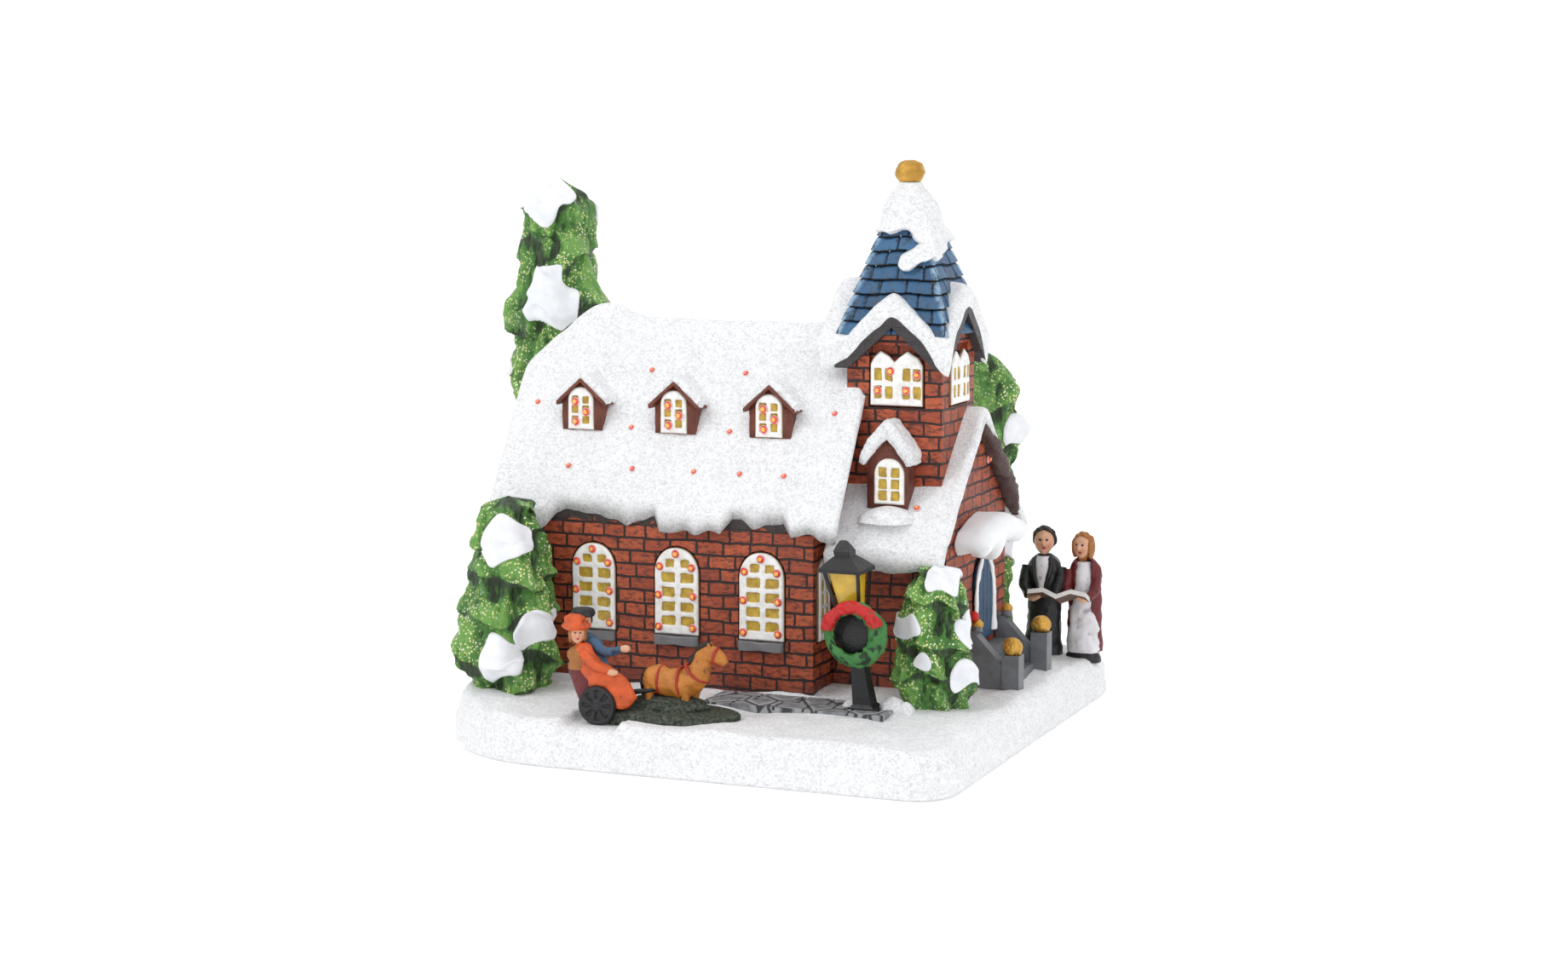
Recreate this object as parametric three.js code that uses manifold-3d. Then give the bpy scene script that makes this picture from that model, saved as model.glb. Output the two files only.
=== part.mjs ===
// Christmas village house: a cast church on a snowy base, lit by one lamp through light fibres.
// Millimetres. X runs along the nave to the door, Y to the back, Z up.
// The origin is on the ground under the middle of the base.
import * as THREE from 'three';
import { mergeVertices } from 'three/addons/utils/BufferGeometryUtils.js';
import Module from 'manifold-3d';

const wasm = await Module();
wasm.setup();

// Driving sizes: general
const seatGap = 0.3;
const padHeight = 1.2;
const padRadius = 5;
const padX = 44;
const padY = 46;
const frontLeftPadInset = 9;

// Driving sizes: base
const baseLeft = -71;
const baseRight = 69;
const baseFront = -63;
const baseBack = 67;
const frontLeftRadius = 33;
const frontRightRadius = 9;
const backRightRadius = 8;
const backLeftRadius = 24;
const frontLeftInset = 13.5;
const rimLift = 0.6;
const rimWall = 4;
const ledgeWidth = 1;
const sideHeight = 7.4;
const groundHeight = 10.6;
const seatHeight = 8;
const outlineSteps = 25;
const naveSnow = 2.4;
const porchSnow = 2.8;

// Driving sizes: cover, battery box and switch under the base
const coverThickness = 2.4;
const cavityHeight = 2.2;
const cellLength = 44.5;
const cellRadius = 5.25;
const cellCount = 3;
const cellSpacing = 0.5;
const boxWall = 1.5;
const contactSpace = 2.25;
const contactThickness = 0.4;
const doorThickness = 1.4;
const doorLap = 1;
const hingePinRadius = 0.6;
const hingePinLength = 1.6;
const knuckleRadius = 0.95;
const batteryCentreX = -20;
const batteryCentreY = 2;
const switchX = 14.5;
const switchY = 2;
const switchTravel = 3;
const switchSize = [9.6, 5, 4.4];
const knobSize = [2.2, 1.8];
const knobFlange = [3.4, 2.8, 1.2];
const screwX = 56;
const screwY = 48;
const screwRadius = 1;
const screwHeadRadius = 2.3;
const screwLength = 5.2;

// Driving sizes: nave
const naveLeft = -52;
const naveRight = 24;
const naveFront = -22;
const naveBack = 26;
const naveEave = 50.6;
const naveRidge = 93;
const naveSlope = 1.556;
const wallThickness = 3;
const eaveOverhang = 3;
const vergeLeft = 3.8;
const vergeRight = 6.5;
const hipStart = 82.4;
const hipSlope = 0.757;
const hipReach = 40;
const ridgeHumpX = -37;
const ridgeHump = 3.4;
const cornerDriftX = 27;
const cornerDrift = 5.5;

// Driving sizes: nave windows and dormers
const windowWidth = 11;
const windowHeight = 20.2;
const windowSill = 23.3;
const windowPitch = 20.75;
const windowCentreX = -9;
const windowThickness = 2;
const windowProud = 0.9;
const borderShare = 0.21;
const windowLedge = 0.55;
const muntin = 1.4;
const paneDepth = 0.5;
const dormerPitch = 23.4;
const dormerCentreX = -12.9;
const dormerWidth = 10;
const dormerFoot = 67.2;
const dormerHeight = 8.6;
const dormerSink = 0.59;
const capOverhang = 1.6;
const capDepth = 1.7;

// Driving sizes: tower and spire
const towerX = 37.35;
const towerY = 4.75;
const towerWidth = 22.5;
const towerWall = 2.6;
const frontGable = 96.8;
const sideGable = 99.6;
const gableSlope = 0.9;
const gableSnow = 5;
const gableOverhang = 2.9;
const bargeDepth = 3.2;
const bargeReach = 2.2;
const spireFoot = 93;
const spireHalf = 12.6;
const spireTipHalf = 2.135;
const spireTop = 125.2;
const spireSnowDepth = 10;
const spireSnowThickness = 1.3;
const finialRadius = 3.4;

// Driving sizes: porch (the low gabled block under the tower), its door and its steps
const porchRight = 51;
const porchFront = -10;
const porchBack = 33;
const porchRidge = 75.5;
const porchSlope = 0.95;
const porchOverhang = 10;
const porchVerge = 2.6;
const doorCentreY = 16;
const doorWidth = 14;
const doorHeight = 21;
const doorSill = 20;
const canopyReach = 8;
const canopyHalf = 16;
const canopyShift = -5.6;
const canopyRidge = 50.4;
const canopyThickness = 5.4;
const canopyFall = 4.6;
const canopyCurve = 3.4;
const stepCount = 4;
const stepReach = 13;
const stairWidth = 18;
const cheekWidth = 4;
const pillarHeight = 10;
const farPillarRise = 1.6;
const ballRadius = 1.9;

// Driving sizes: light fibres
const fibreRadius = 0.5;
const boreRadius = 1.1;
const fibreSides = 3;
const fibreProud = 0.5;
const lampRadius = 2.5;
const lampLength = 6;
const collarRadius = 4.8;
const trunkRadius = 2.6;
const hub = [12, 2, 36];
const hubSize = [9, 3, 7];
const hubSpread = 0.15;

// Derived heights
const coverBottom = padHeight;
const coverTop = coverBottom + coverThickness;
const cavityTop = coverTop + cavityHeight;
const skyHeight = 200;
const farReach = 80;
const ridgeY = (naveFront + naveBack) / 2;
const porchRidgeY = (porchFront + porchBack) / 2;
const towerHalf = towerWidth / 2;
const spireSnowFrom = spireTop - spireSnowDepth;
const spireTaper = (spireHalf - spireTipHalf) / (spireTop - spireFoot);
const dormerFront = ridgeY - (naveRidge - dormerFoot - dormerSink) / naveSlope;

// Solids: helpers

function solid(geometry) {
  let bare = geometry.clone();
  bare.deleteAttribute('normal');
  bare.deleteAttribute('uv');
  bare = mergeVertices(bare, 1e-4);
  const corners = [];
  const index = bare.index.array;
  for (let i = 0; i < index.length; i += 3) {
    const [a, b, c] = [index[i], index[i + 1], index[i + 2]];
    if (a !== b && b !== c && c !== a) {
      corners.push(a, b, c);
    }
  }
  const vertProperties = new Float32Array(bare.attributes.position.array);
  const triVerts = new Uint32Array(corners);
  return new wasm.Manifold(new wasm.Mesh({ numProp: 3, vertProperties, triVerts }));
}

function geometryOf(body) {
  const mesh = body.getMesh();
  const geometry = new THREE.BufferGeometry();
  geometry.setAttribute('position', new THREE.BufferAttribute(mesh.vertProperties, 3));
  geometry.setIndex(new THREE.BufferAttribute(mesh.triVerts, 1));
  geometry.computeVertexNormals();
  return geometry;
}

function join(bodies) {
  return bodies.reduce((whole, body) => whole.add(body));
}

function box(low, high) {
  const size = high.map((value, axis) => value - low[axis]);
  const middle = high.map((value, axis) => (value + low[axis]) / 2);
  return solid(new THREE.BoxGeometry(...size).translate(...middle));
}

function upright(radius, from, to, x, y, sides = 16, topRadius = radius) {
  const geometry = new THREE.CylinderGeometry(topRadius, radius, to - from, sides);
  geometry.rotateX(Math.PI / 2);
  return solid(geometry.translate(x, y, (from + to) / 2));
}

function ball(radius, x, y, z, scale = [1, 1, 1], sides = 12) {
  const geometry = new THREE.SphereGeometry(radius, sides, Math.round(sides * 0.7));
  return solid(geometry.scale(...scale).translate(x, y, z));
}

function outlineOf(points) {
  if (points instanceof THREE.Shape) {
    return points;
  }
  return new THREE.Shape(points.map(([u, v]) => new THREE.Vector2(u, v)));
}

// Outline given as (y, z), carried along X
function alongX(points, from, to, segments = 4) {
  const options = { depth: to - from, bevelEnabled: false, curveSegments: segments };
  const geometry = new THREE.ExtrudeGeometry(outlineOf(points), options);
  const turn = new THREE.Matrix4().makeBasis(axis(0, 1, 0), axis(0, 0, 1), axis(1, 0, 0));
  return solid(geometry.applyMatrix4(turn).translate(from, 0, 0));
}

// Outline given as (x, z), carried along Y
function alongY(points, from, to, segments = 4) {
  const options = { depth: to - from, bevelEnabled: false, curveSegments: segments };
  const geometry = new THREE.ExtrudeGeometry(outlineOf(points), options);
  const turn = new THREE.Matrix4().makeBasis(axis(1, 0, 0), axis(0, 0, 1), axis(0, -1, 0));
  return solid(geometry.applyMatrix4(turn).translate(0, to, 0));
}

// Outline given as (x, y), carried along Z
function alongZ(points, from, to, segments = 4) {
  const options = { depth: to - from, bevelEnabled: false, curveSegments: segments };
  return solid(new THREE.ExtrudeGeometry(outlineOf(points), options).translate(0, 0, from));
}

function axis(x, y, z) {
  return new THREE.Vector3(x, y, z);
}

// Closed skin over a stack of rings with equal counts; the end rings are filled in the plane (u, v)
function skin(rings, u = 'x', v = 'y') {
  const count = rings[0].length;
  const points = rings.flat();
  const faces = [];
  for (let ring = 0; ring + 1 < rings.length; ring += 1) {
    for (let k = 0; k < count; k += 1) {
      const a = ring * count + k;
      const b = ring * count + ((k + 1) % count);
      faces.push(a, b, a + count, b, b + count, a + count);
    }
  }
  const flat = (ring) => ring.map((p) => new THREE.Vector2(p[u], p[v]));
  const last = points.length - count;
  const turned = THREE.ShapeUtils.area(flat(rings[0])) > 0 ? 1 : -1;
  const firstFill = THREE.ShapeUtils.triangulateShape(flat(rings[0]), []);
  const lastFill = THREE.ShapeUtils.triangulateShape(flat(rings[rings.length - 1]), []);
  for (const [a, b, c] of firstFill) {
    faces.push(...(turned > 0 ? [c, b, a] : [a, b, c]));
  }
  for (const [a, b, c] of lastFill) {
    faces.push(...(turned > 0 ? [a + last, b + last, c + last] : [c + last, b + last, a + last]));
  }
  let volume = 0;
  for (let i = 0; i < faces.length; i += 3) {
    const [a, b, c] = [points[faces[i]], points[faces[i + 1]], points[faces[i + 2]]];
    volume += a.clone().cross(b).dot(c);
  }
  if (volume < 0) {
    faces.reverse();
  }
  const geometry = new THREE.BufferGeometry();
  geometry.setAttribute('position', new THREE.Float32BufferAttribute(points.flatMap((p) => p.toArray()), 3));
  geometry.setIndex(faces);
  return solid(geometry);
}

// Round-sided column through sections [z, half width, half depth, centre x, centre y]
function column(sections, sides = 12, turn = 0) {
  const rings = sections.map(([z, halfWidth, halfDepth, x = 0, y = 0]) => {
    const ring = [];
    for (let k = 0; k < sides; k += 1) {
      const angle = turn + (2 * Math.PI * k) / sides;
      ring.push(axis(x + halfWidth * Math.cos(angle), y + halfDepth * Math.sin(angle), z));
    }
    return ring;
  });
  return skin(rings);
}

// Tube along straight runs between points, with a radius for each point
function limb(points, radii, sides = 8) {
  const path = points.map((p) => axis(...p));
  const size = (k) => (Array.isArray(radii) ? radii[k] : radii);
  let side = null;
  const rings = path.map((p, k) => {
    const before = path[Math.max(k - 1, 0)];
    const after = path[Math.min(k + 1, path.length - 1)];
    const ahead = after.clone().sub(before).normalize();
    if (side === null) {
      side = Math.abs(ahead.z) < 0.9 ? axis(0, 0, 1) : axis(1, 0, 0);
    }
    side = side.clone().addScaledVector(ahead, -side.dot(ahead)).normalize();
    const other = ahead.clone().cross(side);
    const ring = [];
    for (let s = 0; s < sides; s += 1) {
      const angle = (2 * Math.PI * (s + 0.5)) / sides;
      const out = side.clone().multiplyScalar(Math.cos(angle)).addScaledVector(other, Math.sin(angle));
      ring.push(p.clone().addScaledVector(out, size(k)));
    }
    return ring;
  });
  return tubeSkin(rings);
}

// Closed skin of a tube: each end is a fan round its middle
function tubeSkin(rings) {
  const count = rings[0].length;
  const points = rings.flat();
  const middle = (ring) => ring.reduce((sum, p) => sum.add(p), axis(0, 0, 0)).divideScalar(count);
  const first = points.push(middle(rings[0])) - 1;
  const last = points.push(middle(rings[rings.length - 1])) - 1;
  const end = (rings.length - 1) * count;
  const faces = [];
  for (let k = 0; k < count; k += 1) {
    const next = (k + 1) % count;
    faces.push(first, next, k, last, end + k, end + next);
    for (let ring = 0; ring < end; ring += count) {
      faces.push(ring + k, ring + next, ring + count + k, ring + next, ring + count + next, ring + count + k);
    }
  }
  const geometry = new THREE.BufferGeometry();
  geometry.setAttribute('position', new THREE.Float32BufferAttribute(points.flatMap((p) => p.toArray()), 3));
  geometry.setIndex(faces);
  const body = solid(geometry);
  if (body.volume() > 0) {
    return body;
  }
  faces.reverse();
  geometry.setIndex(faces);
  return solid(geometry);
}

// Finishes and the model

const finishes = {
  snow: { color: 0xf2f3f5, roughness: 0.75, metalness: 0 },
  brick: { color: 0xa63a22, roughness: 0.6, metalness: 0 },
  window: { color: 0xf1ede2, roughness: 0.5, metalness: 0 },
  tile: { color: 0x2c608f, roughness: 0.5, metalness: 0 },
  gold: { color: 0xb98432, roughness: 0.35, metalness: 0.6 },
  green: { color: 0x3f8a2c, roughness: 0.6, metalness: 0 },
  stone: { color: 0x74777b, roughness: 0.7, metalness: 0 },
  black: { color: 0x1d2022, roughness: 0.45, metalness: 0 },
  blue: { color: 0x24496f, roughness: 0.5, metalness: 0 },
  maroon: { color: 0x6b1e26, roughness: 0.55, metalness: 0 },
  orange: { color: 0xd2521f, roughness: 0.55, metalness: 0 },
  ochre: { color: 0xb8752a, roughness: 0.6, metalness: 0 },
  grass: { color: 0x4b5343, roughness: 0.9, metalness: 0 },
  glass: { color: 0xe0b92e, roughness: 0.2, metalness: 0 },
  fibre: { color: 0xf06a48, roughness: 0.2, metalness: 0 },
  plastic: { color: 0x26282b, roughness: 0.5, metalness: 0 },
  board: { color: 0xdfe3dd, roughness: 0.4, metalness: 0 },
  steel: { color: 0xb9bcc0, roughness: 0.35, metalness: 1 },
  wrap: { color: 0x3a6fb0, roughness: 0.4, metalness: 0.2 },
  felt: { color: 0x3d3a38, roughness: 0.95, metalness: 0 },
  paper: { color: 0xf4f2ea, roughness: 0.8, metalness: 0 },
};

const house = new THREE.Group();

function place(name, body, finish, group = house) {
  const mesh = new THREE.Mesh(geometryOf(body), new THREE.MeshStandardMaterial(finishes[finish]));
  mesh.name = name;
  group.add(mesh);
  return mesh;
}

// Base outline: the rounded quadrilateral round four corner circles, in even steps
const cornerRounds = [
  [baseRight - frontRightRadius, baseFront + frontRightRadius, frontRightRadius],
  [baseRight - backRightRadius, baseBack - backRightRadius, backRightRadius],
  [baseLeft + backLeftRadius, baseBack - backLeftRadius, backLeftRadius],
  [baseLeft + frontLeftInset + frontLeftRadius, baseFront + frontLeftRadius, frontLeftRadius],
];

function supportPoint(angle) {
  const normal = new THREE.Vector2(Math.cos(angle), Math.sin(angle));
  const reach = ([x, y, radius]) => x * normal.x + y * normal.y + radius;
  const [x, y, radius] = cornerRounds.reduce((best, round) => (reach(round) > reach(best) ? round : best));
  return new THREE.Vector2(x, y).addScaledVector(normal, radius);
}

function baseOutline(inset, count) {
  const corners = [];
  for (let k = 0; k < 180; k += 1) {
    corners.push(supportPoint((Math.PI * k) / 90));
  }
  const even = new THREE.Shape(corners).getSpacedPoints(count).slice(0, count);
  return even.map((p, k) => {
    const ahead = even[(k + 1) % count].clone().sub(even[(k + count - 1) % count]).normalize();
    return new THREE.Vector2(p.x - ahead.y * inset, p.y + ahead.x * inset);
  });
}

function hill(x, y, height, centreX, centreY, spread) {
  return height * Math.exp(-((x - centreX) ** 2 + (y - centreY) ** 2) / (2 * spread ** 2));
}

function ground(x, y) {
  const ripple = 0.35 * Math.sin(x * 0.21 + 1) * Math.cos(y * 0.17);
  const drifts = hill(x, y, 4.2, -52, -28, 9) + hill(x, y, 3, 36, -6, 11) + hill(x, y, 2.4, 52, 26, 9);
  return groundHeight + ripple + drifts + hill(x, y, 2.5, -20, 34, 12);
}

// Places where pieces stand in the snow: [centre x, centre y, half width, half depth, seat height]
const stands = {
  backTree: [-59.4, 21, 6.2, 6.2, 9],
  frontTree: [-45.5, -33.5, 7.6, 7.6, 9],
  doorTree: [51.2, -17.8, 6.4, 6.4, 9],
  rearTree: [41, 47, 6, 6, 9],
  man: [54.6, 54, 3.9, 3.1, 9],
  woman: [64, 54.4, 3.6, 3.3, 9],
};
const lampStand = [39.5, -29, 3.4, 2.7, 8.6];
const moundPlace = { x: -1.2, y: -47, halfX: 18.4, halfY: 9, seat: 9, rise: 3.2 };
const pathPlace = { left: 3, right: 46, front: -36, back: -22.6, seat: 9.4, top: 11.6 };
const wheelPlace = { x: -13, y: -55.6, radius: 4.3, track: 8.4 };

function pocket([x, y, halfX, halfY, seat]) {
  const round = upright(1 / Math.cos(Math.PI / 10), seat, skyHeight, 0, 0, 10);
  return round.scale([halfX + seatGap, halfY + seatGap, 1]).translate([x, y, 0]);
}

function lampPocket(floor) {
  const [x, y, halfX, halfY] = lampStand;
  return box([x - halfX - seatGap, y - halfY - seatGap, floor], [x + halfX + seatGap, y + halfY + seatGap, skyHeight]);
}

function naveBox(grow, from, to) {
  return box([naveLeft - grow, naveFront - grow, from], [naveRight + grow, naveBack + grow, to]);
}

function towerBox(grow, from, to) {
  return box(
    [towerX - towerHalf - grow, towerY - towerHalf - grow, from],
    [towerX + towerHalf + grow, towerY + towerHalf + grow, to],
  );
}

// Snow base: outer skin, house seats, pockets, hollow underside
function snowBase() {
  const count = outlineSteps;
  const ringAt = (inset, height) => baseOutline(inset, count).map((p) => axis(p.x, p.y, height(p.x, p.y)));
  const inner = baseOutline(6, count);
  const towards = (share) => inner.map((p) => axis(p.x * share, p.y * share, ground(p.x * share, p.y * share)));
  const rings = [
    ringAt(0.8, () => rimLift),
    ringAt(0, () => sideHeight * 0.6),
    ringAt(0.7, () => sideHeight),
    ringAt(2.6, (x, y) => sideHeight + 0.75 * (ground(x, y) - sideHeight)),
    towards(1),
    towards(0.8),
    towards(0.45),
  ];
  let body = skin(rings);
  body = body.subtract(alongZ(new THREE.Shape(baseOutline(rimWall, count)), 0, coverTop));
  let hollow = alongZ(new THREE.Shape(baseOutline(rimWall + ledgeWidth, count)), coverTop - 1, cavityTop);
  for (const side of [-1, 1]) {
    hollow = hollow.subtract(upright(3.6, coverTop, skyHeight, side * screwX, -side * screwY));
    body = body.subtract(upright(screwRadius + 0.2, 0, coverTop + screwLength, side * screwX, -side * screwY, 8));
  }
  body = body.subtract(hollow);
  body = body.subtract(naveBox(seatGap, seatHeight, skyHeight));
  body = body.subtract(naveBox(-wallThickness, 0, skyHeight));
  body = body.subtract(towerBox(seatGap, seatHeight, skyHeight));
  body = body.subtract(towerBox(-towerWall, 0, skyHeight));
  const porchLow = [naveRight, porchFront - seatGap, seatHeight];
  body = body.subtract(box(porchLow, [porchRight + seatGap, porchBack + seatGap, skyHeight]));
  body = body.subtract(box(stairLow(seatGap), [porchRight + stepReach + seatGap, stairHigh(seatGap), skyHeight]));
  for (const stand of Object.values(stands)) {
    body = body.subtract(pocket(stand));
  }
  body = body.subtract(lampPocket(lampStand[4]));
  const { x, y, halfX, halfY, seat } = moundPlace;
  body = body.subtract(pocket([x, y, halfX, halfY, seat]));
  body = body.subtract(wheelWell(seat));
  const { left, right, front, back, seat: pathSeat } = pathPlace;
  return body.subtract(box([left - seatGap, front - seatGap, pathSeat], [right, back, skyHeight]));
}

function stairLow(grow) {
  return [porchRight, doorCentreY - stairWidth / 2 - cheekWidth - grow, seatHeight];
}

function stairHigh(grow) {
  return doorCentreY + stairWidth / 2 + cheekWidth + grow;
}

// Battery box sizes
const boxInnerX = cellLength + 2 * contactSpace;
const boxInnerY = cellCount * 2 * cellRadius + (cellCount + 1) * cellSpacing;
const cellBottom = coverBottom + doorThickness + seatGap + 0.1;
const boxCeiling = cellBottom + 2 * cellRadius + cellSpacing;
const boxLeft = batteryCentreX - boxInnerX / 2;
const boxFront = batteryCentreY - boxInnerY / 2;
const hingeX = boxLeft - doorLap + knuckleRadius + 0.1;
const hingeZ = coverBottom + knuckleRadius;

function baseCover() {
  const count = outlineSteps;
  let body = alongZ(new THREE.Shape(baseOutline(rimWall + seatGap, count)), coverBottom, coverTop);
  const boxLow = [boxLeft - boxWall, boxFront - boxWall, coverBottom];
  const boxHigh = [boxLeft + boxInnerX + boxWall, boxFront + boxInnerY + boxWall, boxCeiling + boxWall];
  body = body.add(box(boxLow, boxHigh));
  body = body.subtract(box([boxLeft, boxFront, 0], [boxLeft + boxInnerX, boxFront + boxInnerY, boxCeiling]));
  const ledge = coverBottom + doorThickness + seatGap;
  const openLow = [boxLeft - doorLap - seatGap, boxFront - doorLap - seatGap, 0];
  const openHigh = [boxLeft + boxInnerX + doorLap + seatGap, boxFront + boxInnerY + doorLap + seatGap, ledge];
  body = body.subtract(box(openLow, openHigh));
  const slotTop = hingeZ + knuckleRadius + seatGap;
  body = body.subtract(box([openLow[0], openLow[1], 0], [hingeX + knuckleRadius + seatGap, openHigh[1], slotTop]));
  const pinReach = hingePinLength + seatGap;
  const bore = limb(
    [[hingeX, openLow[1] - pinReach, hingeZ], [hingeX, openHigh[1] + pinReach, hingeZ]],
    hingePinRadius + 0.25,
    12,
  );
  body = body.subtract(bore);
  const slotX = (knobSize[0] + switchTravel) / 2 + seatGap;
  const slotY = knobSize[1] / 2 + seatGap;
  body = body.subtract(box([switchX - slotX, switchY - slotY, 0], [switchX + slotX, switchY + slotY, coverTop + 1]));
  body = body.add(upright(4, coverTop - 0.5, boardBottom, towerX, towerY, 12));
  for (const side of [-1, 1]) {
    body = body.subtract(upright(screwRadius + 0.4, 0, skyHeight, side * screwX, -side * screwY, 8));
    const sink = upright(screwHeadRadius + seatGap, 0, coverBottom + 1.4, side * screwX, -side * screwY, 12);
    body = body.subtract(sink);
  }
  return body;
}

function batteryDoor() {
  const low = [hingeX, boxFront - doorLap, coverBottom];
  const high = [boxLeft + boxInnerX + doorLap, boxFront + boxInnerY + doorLap, coverBottom + doorThickness];
  let body = box(low, high);
  body = body.add(limb([[hingeX, low[1], hingeZ], [hingeX, high[1], hingeZ]], knuckleRadius, 10));
  const pinLow = low[1] - hingePinLength;
  const pinHigh = high[1] + hingePinLength;
  body = body.add(limb([[hingeX, pinLow, hingeZ], [hingeX, pinHigh, hingeZ]], hingePinRadius, 8));
  const thumb = upright(7, coverBottom - 1, coverBottom + 0.7, high[0] + 1.5, batteryCentreY, 16);
  return body.subtract(thumb);
}

// Light fibres: every tip is [x, y, z] with the way that it points

const fibres = { windows: [], dormers: [], roof: [], porch: [], tower: [] };

// Start of a strand in the hub: towards its tip, and always inside the hub
function fanStart([x, , z]) {
  const across = (hubSpread * (x - hub[0])) / hubSize[0];
  const up = (hubSpread * (z - hub[2])) / hubSize[2];
  const share = 1 / Math.sqrt(1 + across ** 2 + up ** 2);
  return [hub[0] + hubSize[0] * across * share, hub[1], hub[2] + hubSize[2] * up * share];
}

function addFibre(kind, tip, way, straight, via = [fanStart(tip)]) {
  const outer = axis(...tip).addScaledVector(axis(...way), fibreProud);
  const inner = axis(...tip).addScaledVector(axis(...way), -straight);
  fibres[kind].push([...via, inner.toArray(), outer.toArray()]);
}

const naveLean = Math.atan(naveSlope);
const naveWay = [0, -Math.sin(naveLean), Math.cos(naveLean)];
const porchLean = Math.atan(porchSlope);
const porchWay = [0, -Math.sin(porchLean), Math.cos(porchLean)];
const windowFace = naveFront - windowProud;
const windowXs = [-1, 0, 1].map((k) => windowCentreX + k * windowPitch);
const dormerXs = [-1, 0, 1].map((k) => dormerCentreX + k * dormerPitch);
const boardBottom = 6.6;
const boardTop = boardBottom + 1.2;
const lampTop = boardTop + lampLength;
const coreBottom = lampTop + seatGap;
const coreTop = coreBottom + 9;

function naveSurface(y) {
  return naveRidge - naveSlope * Math.abs(y - ridgeY);
}

function porchSurface(y) {
  return porchRidge - porchSlope * Math.abs(y - porchRidgeY);
}

function naveTip(x, z) {
  return [x, ridgeY - (naveRidge - z) / naveSlope, z];
}

for (const x of windowXs) {
  const side = windowWidth / 2;
  const spots = [
    [0, windowHeight - 1.3], [-side + 1.6, windowHeight - 4.4], [side - 1.6, windowHeight - 4.4],
    [-side + 1.3, windowHeight * 0.45], [side - 1.3, windowHeight * 0.45], [-side + 1.3, 1.8], [side - 1.3, 1.8],
  ];
  for (const [across, up] of spots) {
    addFibre('windows', [x + across, windowFace, windowSill + up], [0, -1, 0], 7);
  }
}
for (const x of dormerXs) {
  for (const [across, up] of [[-1.3, 6.6], [1.4, 4.5], [-1.1, 2.2]]) {
    addFibre('dormers', [x + across, dormerFront - 0.5, dormerFoot + up], [0, -1, 0], 11.5);
  }
}
// Rows of tips in the nave's snow: how far each lies below the ridge, and its places along the roof
const roofRows = [
  [32.8, [-37.5, -21.4, -6.1, 5.1, 15.8]], [24, [-24.2, 0.3]], [19.3, [-49.6, 24.6]], [11.4, [-22.6, 0.9]],
];
for (const [drop, places] of roofRows) {
  for (const x of places) {
    addFibre('roof', naveTip(x, naveRidge - drop), naveWay, 8);
  }
}
const core = [towerX, towerY, coreTop - 1];
for (const [x, y] of [[37.7, -14], [44.6, -11.6]]) {
  addFibre('porch', [x, y, porchSurface(y)], porchWay, 6.4, [core, [x * 0.5 + towerX * 0.5, 1, 38]]);
}
const towerFace = towerY - towerHalf - windowProud;
const twinWidth = 12.6;
const twinHeight = 13;
const twinSill = 75.6;
const twinFrontX = towerX + 0.6;
for (const [across, up] of [[-1.25, 7.9], [4.95, 7.2], [-4.25, 3.5], [2.45, 3.6]]) {
  addFibre('tower', [twinFrontX + across, towerFace, twinSill + up], [0, -1, 0], 7, [core]);
}
addFibre('porch', [porchRight, 19.5, 61.5], [1, 0, 0], 3.2, [core, [towerX, 12, 50], [45.5, 20, 58]]);

const strands = join(Object.values(fibres).flat().map((path) => limb(path, fibreRadius, fibreSides)));

function boresOf(kind) {
  return join(fibres[kind].map((path) => limb(path, boreRadius, fibreSides)));
}

function fibreBundle() {
  const core0 = upright(2.9, coreBottom, coreTop, towerX, towerY, 8);
  const trunk = limb([[towerX, towerY, coreTop - 2], [towerX - 3, towerY - 0.5, coreTop + 3], hub], trunkRadius, 6);
  const knot = solid(new THREE.IcosahedronGeometry(1, 1).scale(...hubSize).translate(...hub));
  return join([core0, trunk, knot, strands]);
}

// Passage for the trunk of fibres between tower and nave
function trunkPassage() {
  return box([naveRight - wallThickness - 1, -6, 18], [towerX - towerHalf + towerWall + 1, 10, 44]);
}

// Nave: walls with gable ends, window seats and fibre bores
function hipCut(drop) {
  const from = naveLeft - vergeLeft - 12;
  const to = naveLeft + hipReach;
  const height = (x) => hipStart + (x - naveLeft + vergeLeft) * hipSlope - drop;
  return alongY([[from, height(from)], [to, height(to)], [to, skyHeight], [from, skyHeight]], -farReach, farReach);
}

const naveRoofRise = naveSnow / Math.cos(naveLean);
const hipRise = naveSnow / Math.cos(Math.atan(hipSlope));

function arch(width, height, x = 0, z = 0) {
  const shape = new THREE.Shape();
  const radius = width / 2;
  shape.moveTo(x - radius, z);
  shape.lineTo(x + radius, z);
  shape.lineTo(x + radius, z + height - radius);
  shape.absarc(x, z + height - radius, radius, 0, Math.PI, false);
  shape.lineTo(x - radius, z);
  return shape;
}

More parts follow.
